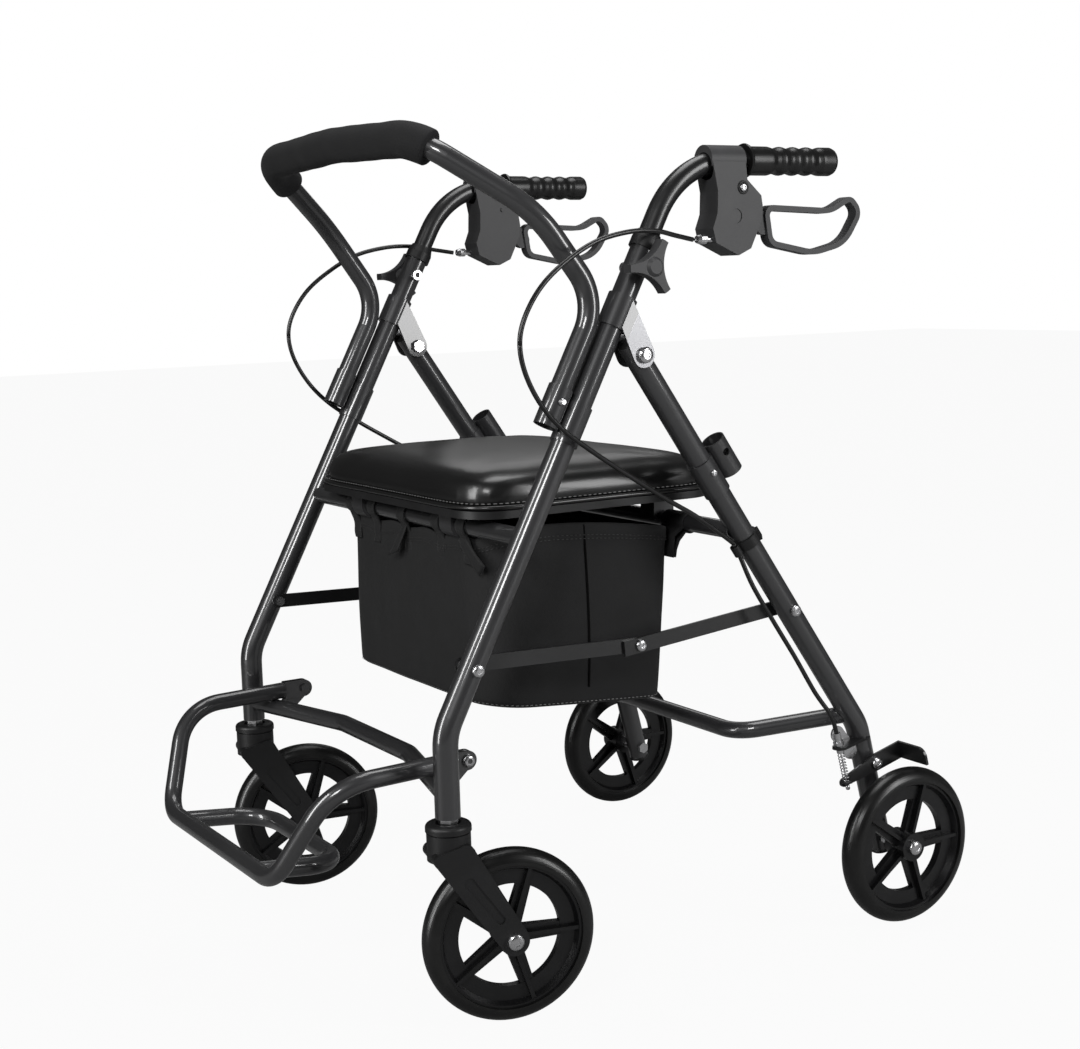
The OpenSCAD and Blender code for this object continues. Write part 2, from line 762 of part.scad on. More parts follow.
module leg_collars() {
    lip = 8;
    color(black_plastic) both_sides() on_front_leg(front_run) difference() {
        union() {
            translate([0, 0, -10]) cylinder(d = leg_d + 5, h = 10);
            cylinder(d1 = leg_d + 5, d2 = handle_d + 3.5, h = lip);
        }
        translate([0, 0, -11]) cylinder(d = leg_d + 2 * seat_gap, h = 11.1);
        translate([0, 0, -1]) cylinder(d = handle_d + 2 * pass_gap, h = lip + 2);
    }
}

module front_bolts() {
    bush_d = 2.2 * link_bolt_d;
    leg_in = half_track - leg_d / 2 - weld_gap;
    cheek = leg_d / 2 + cheek_gap + bracket_t + weld_gap;
    color(bright_steel) both_sides() {
        cross_bolt(link_front_y, link_front_z, inner_link_x - link_t - pass_gap,
            half_track + leg_d / 2 + weld_gap, link_bolt_d);
        x_rod(inner_link_x + pass_gap, link_front_y, link_front_z, bush_d, leg_in - inner_link_x - pass_gap);
        cross_bolt(hinge_y, hinge_z, half_track - cheek, half_track + cheek, hinge_bolt_d);
        on_front_leg(front_run - clamp_drop) difference() {
            x_rod(-leg_d / 2 - 7, 0, 0, 2 * clamp_bolt_d, 7 - weld_gap);
            x_rod(-leg_d, 0, 0, clamp_bolt_d + 2 * running_gap, leg_d);
        }
    }
}

// Backrest
back_foot = front_socket_foot + front_up * 4;
back_low = front_socket_foot + front_up * ((back_bend_z - front_socket_foot.z) / cos(front_tilt));
back_mid = [back_mid_x, back_mid_y, back_mid_z];
back_corner = [back_corner_x, back_top_y, back_corner_z];
back_top = [0, back_top_y - 4, back_top_z];
back_half = [back_foot, back_low, back_mid, back_corner];
back_path = concat(back_half, [back_top], flip_x(back_half));
corner_r = 60;
back_radii = [55, 130, corner_r, 300, corner_r, 130, 55];

module backrest_bar() {
    color(paint) difference() {
        bent_tube(back_path, back_radii, back_d, back_wall);
        both_sides() translate(front_socket_foot + front_up * (button_s - front_socket_s))
            x_rod(0, 0, 0, button_d + 2 * running_gap, back_d);
    }
}

module backrest_foam() {
    end = back_corner + unit(back_mid - back_corner) * foam_arm;
    path = concat([end, back_corner, back_top], flip_x([end, back_corner]));
    color(rubber) bent_tube(path, [corner_r, 300, corner_r], foam_d, (foam_d - back_d) / 2 - seat_gap);
}

module snap_button(side) {
    p = front_socket_foot + front_up * (button_s - front_socket_s);
    out = socket_bore / 2 + socket_wall + button_out;
    color(bright_steel) on_side(side) translate(p) rotate([0, 90, 0]) {
        translate([0, 0, 5]) cylinder(d = button_d, h = out - 7);
        translate([0, 0, out - 2]) cylinder(d1 = button_d, d2 = button_d - 3, h = 2);
    }
}

// Rear frame
module rear_leg(side) {
    top = rear_at(-hinge_end);
    foot = rear_axle + foot_dir * axle_end;
    far = 2 * leg_d;
    color(paint) on_side(side) difference() {
        bent_tube([top, rear_bend, foot], [leg_bend_r], leg_d, leg_wall);
        x_rod(half_track - leg_d, hinge_y, hinge_z, hinge_bolt_d + 2 * running_gap, far);
        x_rod(half_track - leg_d, link_rear_y, link_rear_z, link_bolt_d + 2 * seat_gap, far);
        x_rod(half_track - leg_d, rear_axle_y, wheel_r, axle_d + 2 * seat_gap, far);
        x_rod(half_track - leg_d, brake_y, brake_z, brake_bolt_d + 2 * seat_gap, far);
    }
}

module rear_seat_bar() {
    color(paint) difference() {
        seat_bar(rear_seat_bar_y, rear_seat_bar_z);
        both_sides() bar_between(rear_at(0), rear_bend, leg_d + 2 * weld_gap);
    }
}

module rear_cross_tube() {
    p = [half_track, rear_y(rear_cross_end_z), rear_cross_end_z];
    q = [rear_cross_half, rear_cross_y, rear_cross_z];
    color(paint) difference() {
        bent_tube(concat([p, q], flip_x([p, q])), [cross_bend_r, cross_bend_r], bar_d, bar_wall);
        both_sides() bar_between(rear_at(0), rear_bend, leg_d + 2 * weld_gap);
    }
}

module rear_sockets() {
    color(paint) both_sides() on_rear_leg(rear_socket_s + socket_l) double_barrel(1);
}

// Tab on the rear leg for the cable stop, or the room it needs in the plate behind it
module stop_tab(extra) {
    translate([0, 0, stop.z - tab_t / 2 - extra]) linear_extrude(tab_t + 2 * extra)
        taper_outline([hook_x, stop.y], 8 + extra, [half_track + 4, foot_y(stop.z)], 10 + extra);
}

module cable_clips() {
    lug = [10, 6];
    color(black_plastic) both_sides() {
        on_rear_leg(clip_s) difference() {
            union() {
                cylinder(r = clip_ring_r + clip_wall_t, h = clip_h);
                translate(cable_hole) cylinder(d = cable_d + 5, h = clip_h);
                rotate(-clip_lug_turn) translate([-lug.x / 2, clip_ring_r - clip_wall_t, 0])
                    cube([lug.x, lug.y, clip_h]);
            }
            translate([0, 0, -1]) cylinder(r = clip_ring_r, h = clip_h + 2);
            translate([cable_hole.x, cable_hole.y, -1]) cylinder(d = cable_d + 2, h = clip_h + 2);
        }
        difference() {
            stop_tab(0);
            bar_between(rear_bend - foot_dir * 2, rear_axle, leg_d + 2 * weld_gap);
            at_hook() translate([0, 0, stop_rise - barrel_below])
                cylinder(d = barrel_d + 2 * seat_gap, h = 2 * barrel_below);
        }
    }
}

module cable_stops() {
    nut_h = 5;
    nut_up = 3;
    plate_t = 2;
    plate_r = 9;
    color(bright_steel) both_sides() {
        difference() {
            side_plate(half_track + 4, plate_t)
                taper_outline([hook_y + 4, hook_z + 50], plate_r, [brake_y - 24, hook_z + 27], plate_r);
            bar_between(rear_bend - foot_dir * 2, rear_axle, leg_d + 2 * weld_gap);
            stop_tab(weld_gap);
        }
        at_hook() translate([0, 0, stop_rise - barrel_below]) difference() {
            union() {
                cylinder(d = barrel_d, h = barrel_l);
                translate([0, 0, barrel_below + nut_up]) cylinder(d = barrel_d + 4, h = nut_h, $fn = 6);
            }
            translate([0, 0, -1]) cylinder(d = 2.4, h = barrel_l + 2);
        }
    }
}

module rear_bolts() {
    leg_in = half_track - leg_d / 2 - weld_gap;
    leg_out = half_track + leg_d / 2 + weld_gap;
    hub_in = rear_wheel_x - hub_l / 2;
    hub_out = rear_wheel_x + hub_l / 2;
    color(bright_steel) both_sides() {
        cross_bolt(link_rear_y, link_rear_z, outer_link_x - link_t - pass_gap, leg_out, link_bolt_d);
        x_rod(outer_link_x + pass_gap, link_rear_y, link_rear_z, 2.2 * link_bolt_d,
            leg_in - outer_link_x - pass_gap);
        cross_bolt(rear_axle_y, wheel_r, leg_in, hub_out + pass_gap, axle_d);
        x_rod(leg_out, rear_axle_y, wheel_r, 2 * axle_d, hub_in - leg_out - pass_gap);
        cross_bolt(brake_y, brake_z, leg_in, brake_x + brake_t + pass_gap, brake_bolt_d);
        x_rod(leg_out + 0.5, brake_y, brake_z, 2 * brake_bolt_d, brake_x - leg_out - 0.5 - pass_gap);
    }
}

// Side links
module front_link(side) {
    p = [link_front_y, link_front_z];
    q = [knee_y, knee_z];
    color(grey_plastic) on_side(side) difference() {
        union() {
            side_plate(inner_link_x - link_t, link_t) taper_outline(p, link_w / 2, q, link_w / 2);
            translate([inner_link_x - link_t - 2, q.x, q.y]) rotate([0, 90, 0])
                cylinder(d1 = link_bolt_d, d2 = 2 * link_bolt_d, h = 2.01);
        }
        x_rod(inner_link_x - 2 * link_t, p.x, p.y, link_bolt_d + 2 * running_gap, 3 * link_t);
    }
}

module rear_link(side) {
    p = [link_rear_y, link_rear_z];
    q = [knee_y, knee_z];
    along = unit(q - p);
    across = [-along.y, along.x] * link_w / 2;
    end = q + along * knee_overlap;
    color(grey_plastic) on_side(side) difference() {
        union() {
            side_plate(outer_link_x - link_t, link_t) {
                translate(p) circle(link_w / 2);
                polygon([p - across, end - across, end + across, p + across]);
            }
            translate([outer_link_x - 0.01, q.x, q.y]) rotate([0, 90, 0])
                cylinder(d1 = 2 * link_bolt_d, d2 = link_bolt_d, h = 0.9);
        }
        x_rod(outer_link_x - 2 * link_t, p.x, p.y, link_bolt_d + 2 * running_gap, 3 * link_t);
    }
}

// Seat
seat_mid_y = (seat_front_y + seat_rear_y) / 2;
seat_long = seat_rear_y - seat_front_y;

module seat_base() {
    edge = 5;
    color(black_plastic) translate([0, seat_mid_y, seat_under_z])
        linear_extrude(board_t) round_outline(2 * seat_half - 2 * edge, seat_long - 2 * edge, 42);
}

// Crowned cushion: rings of a rounded square outline, drawn in along the middle of its sides
cushion_rings = [[0, 5], [0.12, 1], [0.35, 0], [0.6, 2], [0.8, 8], [0.92, 22], [0.975, 48], [1, 90]];
function power(v, e) = sign(v) * pow(abs(v), e);
function cushion_point(a, inset, z) =
    let (
        hx = seat_half - inset,
        hy = seat_long / 2 - inset,
        u = power(cos(a), 0.3),
        v = power(sin(a), 0.3),
        draw = 4
    ) [u * (hx - draw * (1 - v * v)), seat_mid_y + v * (hy - draw * (1 - u * u)), z];

module seat_cushion() {
    n = 56;
    m = len(cushion_rings);
    z0 = seat_under_z + board_t;
    points = concat(
        [for (r = cushion_rings, k = [0:n - 1])
            cushion_point(360 * (k + 0.5) / n, r[1], z0 + cushion_h * r[0])],
        [[0, seat_mid_y, z0], [0, seat_mid_y, z0 + cushion_h + 1]]
    );
    sides = [for (i = [0:m - 2], k = [0:n - 1], h = [0, 1])
        let (a = i * n + k, b = i * n + (k + 1) % n)
        h == 0 ? [a, a + n, b] : [b, a + n, b + n]];
    caps = [for (k = [0:n - 1], h = [0, 1])
        h == 0 ? [m * n, k, (k + 1) % n] : [m * n + 1, (m - 1) * n + (k + 1) % n, (m - 1) * n + k]];
    color(vinyl) polyhedron(points, concat(sides, caps));
}

module seat_clips() {
    bore = bar_d + 2 * running_gap;
    block = bar_d + 2 * clip_wall;
    rest = bar_d + 2 * pass_gap;
    color(grey_plastic) both_sides() {
        translate([clip_x - clip_w / 2, 0, 0]) difference() {
            union() {
                x_rod(0, front_seat_bar_y, front_seat_bar_z, block, clip_w);
                translate([0, front_seat_bar_y - block / 2, front_seat_bar_z])
                    cube([clip_w, block, seat_under_z - front_seat_bar_z]);
            }
            x_rod(-1, front_seat_bar_y, front_seat_bar_z, bore, clip_w + 2);
        }
        translate([clip_x - clip_w / 2, 0, 0]) difference() {
            translate([0, rear_seat_bar_y - block / 2, rear_seat_bar_z])
                cube([clip_w, block, seat_under_z - rear_seat_bar_z]);
            x_rod(-1, rear_seat_bar_y, rear_seat_bar_z, rest, clip_w + 2);
        }
    }
}

// Quarter of a circle as points, from angle a
function arc(c, r, a) = [for (i = [0:8]) c + r * [cos(a + 90 * i / 8), sin(a + 90 * i / 8)]];

// Bag, open at the top, with a rear wall that leans back
module bag_form(inset) {
    w = 2 * (bag_half - inset);
    front = bag_front_y + inset;
    rear = bag_rear_y - inset;
    rim = rear + bag_slant;
    low = bag_bottom_z + inset;
    high = bag_top_z + inset;
    r = bag_edge_r - inset;
    intersection() {
        translate([0, (front + rim) / 2, low]) linear_extrude(high - low)
            round_outline(w, rim - front, bag_corner_r - inset);
        side_plate(-w / 2 - 1, w + 2)
            polygon(concat(
                [[front, high]], arc([front + r, low + r], r, 180),
                arc([rear - r, low + r], r, 270), [[rim, high]]
            ));
    }
}

module bag() {
    color(nylon) difference() {
        bag_form(0);
        bag_form(bag_wall);
    }
}

// Loops of webbing round the front seat bar, each with a tail down the front of the bag
module bag_straps() {
    in_r = bar_d / 2 + pass_gap;
    tail = front_seat_bar_z - bag_top_z + strap_tail;
    tail_y = bag_front_y - strap_t - pass_gap;
    color(nylon) for (i = [-2:2])
        translate([i * strap_pitch - strap_w / 2, 0, 0]) {
            difference() {
                union() {
                    x_rod(0, front_seat_bar_y, front_seat_bar_z, 2 * (in_r + strap_t), strap_w);
                    translate([0, tail_y, front_seat_bar_z - tail]) cube([strap_w, strap_t, tail]);
                }
                x_rod(-1, front_seat_bar_y, front_seat_bar_z, 2 * in_r, strap_w + 2);
            }
        }
}

// Handles
handle_foot = front_at(front_run - handle_insert);
handle_bend = [half_track, front_y(grip_z), grip_z];
handle_end = [half_track, grip_end_y - 6, grip_z];
clamp_s = front_run - clamp_drop;

module handle_tube(side) {
    color(black_plastic) on_side(side) difference() {
        bent_tube([handle_foot, handle_bend, handle_end], [handle_bend_r], handle_d, leg_wall);
        for (i = [0:height_steps])
            translate(front_at(clamp_s - i * height_step))
                x_rod(-handle_d, 0, 0, clamp_bolt_d + 2 * pass_gap, 2 * handle_d);
    }
}

// Grip turned about the handle tube: a flange, finger grooves and a rounded end
function grip_radius(v) =
    let (r = grip_d / 2, w = (v - 0.2) / 0.68)
    w < 0 || w > 1 ? r : r - 0.9 * (1 - cos(360 * groove_count * w));

module grip(side) {
    steps = 48;
    bore_r = handle_d / 2 + seat_gap;
    wave = [for (i = [0:steps]) [grip_radius(i / steps), 8 + (grip_l - 12) * i / steps]];
    r = grip_d / 2;
    color(rubber) on_side(side)
        translate([half_track, grip_y, grip_z]) rotate([-90, 0, 0]) rotate_extrude()
            polygon(concat(
                [[bore_r, 0], [r + 2.5, 0], [r + 3, 1.5], [r + 2.5, 3], [r, 5]], wave,
                [[r - 1.2, grip_l - 1], [r - 4, grip_l], [0, grip_l], [0, grip_l - 5], [bore_r, grip_l - 5]]
            ));
}

// Brake housing outline behind the handle bend, drawn in Y and Z
module housing_outline() {
    y = lever_y;
    z = grip_z;
    polygon([
        [y - 38, z - 2], [y + 4, z - 2], [y + 6, z - 20], [y + 24, z - 36],
        [y + 26, z - 48], [y + 24, z - 62], [y + 10, z - 90], [y - 6, z - 97],
        [y - 35, z - 84], [y - 39, z - 69], [y - 33, z - 54], [y - 32, z - 32]
    ]);
}

module brake_housing(side) {
    ring_d = handle_d + 2 * housing_wall;
    bore = handle_d + 2 * seat_gap;
    slot_t = lever_t + 2 * pass_gap;
    slot_h = 86;
    ring_l = 44;
    clear_turn = 25;
    bend_end = handle_bend + [0, bend_cut(handle_foot, handle_bend, handle_end, handle_bend_r), 0];
    near = bend_end - handle_bend_r * [0, sin(clear_turn), 1 - cos(clear_turn)];
    color(grey_plastic) on_side(side) difference() {
        union() {
            side_plate(half_track - housing_t / 2, housing_t) housing_outline();
            translate([half_track, lever_y + housing_ring_end - ring_l, grip_z]) rotate([-90, 0, 0])
                cylinder(d = ring_d, h = ring_l);
        }
        bar_between(bend_end - [0, 8, 0], handle_end, bore);
        bar_between(near, bend_end, bore + 6);
        translate([half_track - slot_t / 2, lever_y - 10, grip_z - slot_h])
            cube([slot_t, 60, slot_h - handle_d / 2 - 2.5]);
        x_rod(half_track - housing_t, lever_y, lever_z, lever_pin_d + 2 * running_gap, 2 * housing_t);
        translate([half_track + housing_t / 2 - 1, lever_y - 9, grip_z - 57]) rotate([0, 90, 0])
            cylinder(d = 15, h = 2);
        translate([adjuster_x, adjuster_y + 6, adjuster_z]) rotate([90, 0, 0])
            cylinder(d = 6 + 2 * seat_gap, h = 20);
    }
}

module cable_adjuster(side) {
    color(bright_steel) on_side(side) translate([adjuster_x, adjuster_y, adjuster_z]) rotate([90, 0, 0])
        difference() {
            union() {
                translate([0, 0, -5]) cylinder(d = 6, h = 20);
                translate([0, 0, 4]) cylinder(d = 10, h = 7, $fn = 12);
                translate([0, 0, 11]) cylinder(d1 = 10, d2 = 7.5, h = 4);
            }
            translate([0, 0, 14]) cylinder(d = cable_d - 1, h = 3);
        }
}

// Lever: an eye on the pin, a blade in the housing and a closed loop for the fingers
module brake_lever(side) {
    y = lever_y;
    z = lever_z;
    seam = [41, -38.5];
    loop = [for (p = [seam, [38, -20], [126, -24], [154, -10], [168, -25], [146, -58], [102, -68],
        [44, -57], seam]) [half_track, y + p[0], z + p[1]]];
    up = unit(loop[1] - loop[0]) * bridge;
    color(black_plastic) on_side(side) {
        bent_strip(loop, [8, 40, 9, 12, 40, 60, 12], loop_w, loop_t);
        strip_between(loop[0] - up, loop[0] + up, loop_w - 2, loop_t - 2);
        side_plate(half_track - lever_t / 2, lever_t) taper_outline([y, z], 8, [y + 36, z - 38], 10);
        x_rod(half_track - housing_t / 2 - 1.5, y, z, lever_pin_d, housing_t + 3);
    }
}

// Knob with three wings on the clamp bolt
module knob(side) {
    outer = leg_d / 2 + 9;
    tip = knob_r * [0.5, sqrt(0.75)] + knob_tip / 2 * [sqrt(0.75), -0.5];
    away = (tip * tip - pow(knob_waist, 2)) / (2 * (tip.x - knob_waist));
    color(grey_plastic) on_side(side) on_front_leg(clamp_s) rotate([0, 90, 0]) {
        translate([0, 0, -leg_d / 2 - 6]) cylinder(d = clamp_bolt_d, h = outer + leg_d / 2 + 8);
        translate([0, 0, leg_d / 2 + pass_gap]) cylinder(d1 = 13, d2 = 18, h = 9);
        translate([0, 0, outer]) linear_extrude(knob_t) difference() {
            circle(knob_r);
            for (a = [0, 120, 240])
                rotate(a) translate([away, 0]) circle(away - knob_waist);
        }
        translate([0, 0, outer + knob_t - 0.01]) cylinder(d1 = 20, d2 = 14, h = 3);
    }
}

// Wheel brakes: an arm on a bolt through the leg, with a hook in front and a pedal bent out over the tyre
module brake_arm(side) {
    pivot = [brake_y, brake_z];
    along = [cos(arm_tilt), sin(arm_tilt)];
    across = [-sin(arm_tilt), cos(arm_tilt)] * arm_w / 2;
    fold = pivot + along * arm_l;
    round_r = 10;
    hook_t = 2;
    hook_w = 10;
    color(black_plastic) on_side(side) difference() {
        union() {
            side_plate(brake_x, brake_t) {
                taper_outline(pivot, arm_w / 2, [hook_y, hook_z - hook_t], 5);
                polygon([pivot - across, fold - across, fold + across, pivot + across]);
            }
            translate([brake_x, hook_y - hook_w / 2, hook_z - hook_t])
                cube([hook_x - brake_x + 4, hook_w, hook_t]);
            translate([brake_x, fold.x, fold.y]) rotate([arm_tilt, 0, 0]) translate([0, 0, -arm_w / 2])
                rotate([90, 0, 0]) linear_extrude(brake_t) {
                    square([pedal_w - round_r, arm_w]);
                    square([pedal_w, arm_w - round_r]);
                    translate([pedal_w - round_r, arm_w - round_r]) circle(round_r);
                }
        }
        x_rod(brake_x - 1, brake_y, brake_z, brake_bolt_d + 2 * running_gap, brake_t + 2);
        at_hook() translate([0, 0, -6]) cylinder(d = 2.4, h = 8);
    }
}

// Spring between the cable stop and the hook, with its least gap to itself measured on points
spring_room = 0.5;
spring_low = spring_wire / 2 + spring_room + spring_d / 2 * sin(hook_lean);
spring_high = stop_rise - barrel_below - spring_wire / 2 - spring_room;
spring_r = (spring_d - spring_wire) / 2;
spring_path = [for (i = [0:8 * spring_curls])
    hook_at([spring_r * cos(45 * i), spring_r * sin(45 * i),
        spring_low + (spring_high - spring_low) * i / (8 * spring_curls)])];
spring_gap = min([for (i = [0:len(spring_path) - 6], j = [i + 5:min(i + 12, len(spring_path) - 1)])
    norm(spring_path[j] - spring_path[i])]) - spring_wire;

module brake_springs() {
    echo(spring_least_gap = spring_gap);
    color(bright_steel) both_sides() swept(spring_path, spring_wire, 6);
}

module brake_cable(side) {
    color(rubber) on_side(side) {
        swept(smooth(cable_route, 3), cable_d, 8);
        at_hook() translate([0, 0, -5]) cylinder(d = 1.6, h = stop_rise + barrel_l - 0.7);
    }
}

// Casters, built round the stem at the origin with the axle behind it
module at_caster(side) {
    translate([side * half_track, stem_y, 0]) rotate([0, 0, caster_turn]) children();
}

module caster_fork(side) {
    arch_r = wheel_r + fork_arch_gap;
    low = wheel_d - 4;
    cap_h = 8;
    cap_r = crown_d / 2 + 1;
    cap_edge = 4;
    cap_z = crown_top_z - cap_h;
    axle = [caster_trail, wheel_r];
    toe = [-14, wheel_d + 1];
    toe_r = 7;
    back = [11, wheel_d + 5];
    back_r = 10;
    color(grey_plastic) at_caster(side) difference() {
        union() {
            translate([0, 0, low]) cylinder(d = crown_d, h = cap_z - 1.5 - low);
            translate([0, 0, cap_z - 2]) cylinder(d = crown_d - 4, h = 3);
            translate([0, 0, cap_z]) rotate_extrude() {
                square([cap_r, cap_h - cap_edge]);
                square([cap_r - cap_edge, cap_h]);
                translate([cap_r - cap_edge, cap_h - cap_edge]) circle(cap_edge);
            }
            side_plate(-fork_half, 2 * fork_half) {
                translate(toe) circle(toe_r);
                translate(axle) circle(fork_end_r);
                translate(back) circle(back_r);
                polygon(concat(
                    outer_line(toe, toe_r - bite, axle, fork_end_r - bite),
                    outer_line(axle, fork_end_r - bite, back, back_r - bite),
                    outer_line(back, back_r - bite, toe, toe_r - bite)
                ));
            }
        }
        x_rod(-fork_half + fork_arm_t, caster_trail, wheel_r, 2 * arch_r, 2 * (fork_half - fork_arm_t));
        x_rod(-2 * fork_half, caster_trail, wheel_r, axle_d + 2 * seat_gap, 4 * fork_half);
        translate([0, 0, low - 40]) cylinder(d = stem_d + 2 * seat_gap, h = 100);
        translate([0, 0, crown_top_z - nut_sink]) cylinder(d = 2.1 * stem_d, h = nut_sink + 1);
        for (x = [-fork_half - 1, fork_half - 1.5])
            side_plate(x, 2.5)
                taper_outline([14, wheel_d - 24], 5.5, [caster_trail - 14, wheel_r + 24], 4.5);
    }
}

module caster_bolts(side) {
    axle_in = fork_half - fork_arm_t - weld_gap;
    color(bright_steel) at_caster(side) {
        translate([0, 0, wheel_d - 2]) cylinder(d = stem_d, h = leg_foot_z + 28 - wheel_d + 2);
        translate([0, 0, crown_top_z - nut_sink + weld_gap])
            cylinder(d = 1.7 * stem_d, h = nut_sink + stem_gap - weld_gap - pass_gap, $fn = 6);
        cross_bolt(caster_trail, wheel_r, -fork_half - weld_gap, fork_half + weld_gap, axle_d);
        for (s = [-1, 1])
            translate([s * (hub_l / 2 + pass_gap), caster_trail, wheel_r]) rotate([0, s * 90, 0])
                cylinder(d = 2 * axle_d, h = axle_in - hub_l / 2 - pass_gap);
    }
}

// Wheel turned about X: hub, tapered spokes with ribs, and a rim with a raised band
module wheel(x, y) {
    in_r = rim_r - rim_depth;
    root = 0.27 * hub_d;
    tip = 7;
    rib_t = 4;
    color(grey_plastic) translate([x, y, wheel_r]) rotate([0, 90, 0]) difference() {
        union() {
            cylinder(d = hub_d, h = hub_l, center = true);
            rotate_extrude()
                polygon([
                    [in_r, -web_t / 2], [rim_r - 6, -web_t / 2], [rim_r - 3, -rim_w / 2], [rim_r, -rim_w / 2],
                    [rim_r, rim_w / 2], [rim_r - 3, rim_w / 2], [rim_r - 6, web_t / 2], [in_r, web_t / 2]
                ]);
            for (i = [0:spoke_count - 1])
                rotate(90 + 360 * i / spoke_count) {
                    linear_extrude(web_t - 1, center = true)
                        polygon([[8, -root], [in_r + 2, -tip], [in_r + 2, tip], [8, root]]);
                    translate([8, -rib_t / 2, 1 - rim_w / 2]) cube([rim_r - 10, rib_t, rim_w - 2]);
                }
        }
        cylinder(d = axle_d + 2 * running_gap, h = 2 * hub_l, center = true);
    }
}

module tyre(x, y) {
    r = rim_r + running_gap;
    color(rubber) translate([x, y, wheel_r]) rotate([0, 90, 0]) rotate_extrude()
        polygon(concat(
            [for (a = [-90:7.5:90]) [r + 1 + (wheel_r - r - 1) * cos(a), tyre_w / 2 * sin(a)]],
            [[r, tyre_w / 2], [r, -tyre_w / 2]]
        ));
}

// Footrest
foot_back = [foot_arm_x, foot_hinge_y - foot_end, foot_hinge_z];
foot_bend = [foot_arm_x, foot_bend_y, foot_hinge_z - foot_bend_drop];
foot_front = [foot_front_half, foot_front_y, foot_front_z];

module footrest() {
    side_path = [foot_back, foot_bend, foot_front];
    heel_front = [heel_half, foot_front_y, foot_front_z];
    heel_rear = [heel_half, heel_rear_y, heel_rear_z];
    heel_path = [heel_front, heel_rear];
    color(paint) {
        bent_tube(concat(side_path, flip_x(side_path)), [62, 40, 40, 62], bar_d, bar_wall);
        difference() {
            bent_tube(concat(heel_path, flip_x(heel_path)), [42, 42], bar_d, bar_wall);
            bar_between(foot_front, [-foot_front.x, foot_front.y, foot_front.z], bar_d - bar_wall);
        }
    }
}

// Channels at the ends of the footrest arms, which straddle the lugs on the front cross tube
module footrest_hinges() {
    lug_half = foot_lug_t / 2 + pass_gap;
    plate = 2.5;
    r = 10;
    back = foot_end - 0.5;
    color(paint) both_sides() {
        for (x = [foot_arm_x - lug_half - plate, foot_arm_x + lug_half])
            difference() {
                side_plate(x, plate) {
                    translate([foot_hinge_y, foot_hinge_z]) circle(r);
                    translate([foot_hinge_y - back, foot_hinge_z - r]) square([back, 2 * r]);
                }
                x_rod(x - 1, foot_hinge_y, foot_hinge_z, foot_bolt_d + 2 * seat_gap, plate + 2);
            }
        cross_bolt(foot_hinge_y, foot_hinge_z, foot_arm_x - lug_half - plate - weld_gap,
            foot_arm_x + lug_half + plate + weld_gap, foot_bolt_d);
    }
}

front_leg(1);  // front_leg_left
front_leg(-1);  // front_leg_right
front_cross_tube();
front_seat_bar();
hinge_brackets();
front_sockets();
leg_collars();
front_bolts();
backrest_bar();
backrest_foam();
rear_leg(1);  // rear_leg_left
rear_leg(-1);  // rear_leg_right
rear_seat_bar();
rear_cross_tube();
rear_sockets();
cable_clips();
cable_stops();
rear_bolts();
front_link(1);  // front_link_left
front_link(-1);  // front_link_right
rear_link(1);  // rear_link_left
rear_link(-1);  // rear_link_right
seat_base();
seat_cushion();
seat_clips();
bag();
bag_straps();
handle_tube(1);  // handle_tube_left
handle_tube(-1);  // handle_tube_right
grip(1);  // grip_left
grip(-1);  // grip_right
brake_housing(1);  // brake_housing_left
brake_housing(-1);  // brake_housing_right
cable_adjuster(1);  // cable_adjuster_left
cable_adjuster(-1);  // cable_adjuster_right
brake_lever(1);  // brake_lever_left
brake_lever(-1);  // brake_lever_right
knob(1);  // knob_left
knob(-1);  // knob_right
snap_button(1);  // snap_button_left
snap_button(-1);  // snap_button_right
brake_arm(1);  // brake_arm_left
brake_arm(-1);  // brake_arm_right
brake_springs();
brake_cable(1);  // brake_cable_left
brake_cable(-1);  // brake_cable_right
caster_fork(1);  // caster_fork_left
caster_fork(-1);  // caster_fork_right
caster_bolts(1);  // caster_bolts_left
caster_bolts(-1);  // caster_bolts_right
at_caster(1) wheel(0, caster_trail);  // front_wheel_left
at_caster(-1) wheel(0, caster_trail);  // front_wheel_right
wheel(rear_wheel_x, rear_axle_y);  // rear_wheel_left
wheel(-rear_wheel_x, rear_axle_y);  // rear_wheel_right
at_caster(1) tyre(0, caster_trail);  // front_tyre_left
at_caster(-1) tyre(0, caster_trail);  // front_tyre_right
tyre(rear_wheel_x, rear_axle_y);  // rear_tyre_left
tyre(-rear_wheel_x, rear_axle_y);  // rear_tyre_right
footrest();
footrest_hinges();
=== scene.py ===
"""Studio scene of a folding rollator walker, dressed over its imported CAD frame."""

import json
import logging
import math
from collections.abc import Sequence
from dataclasses import dataclass
from enum import Enum
from functools import cache

import bmesh
import bpy
from mathutils import Matrix, Vector, noise

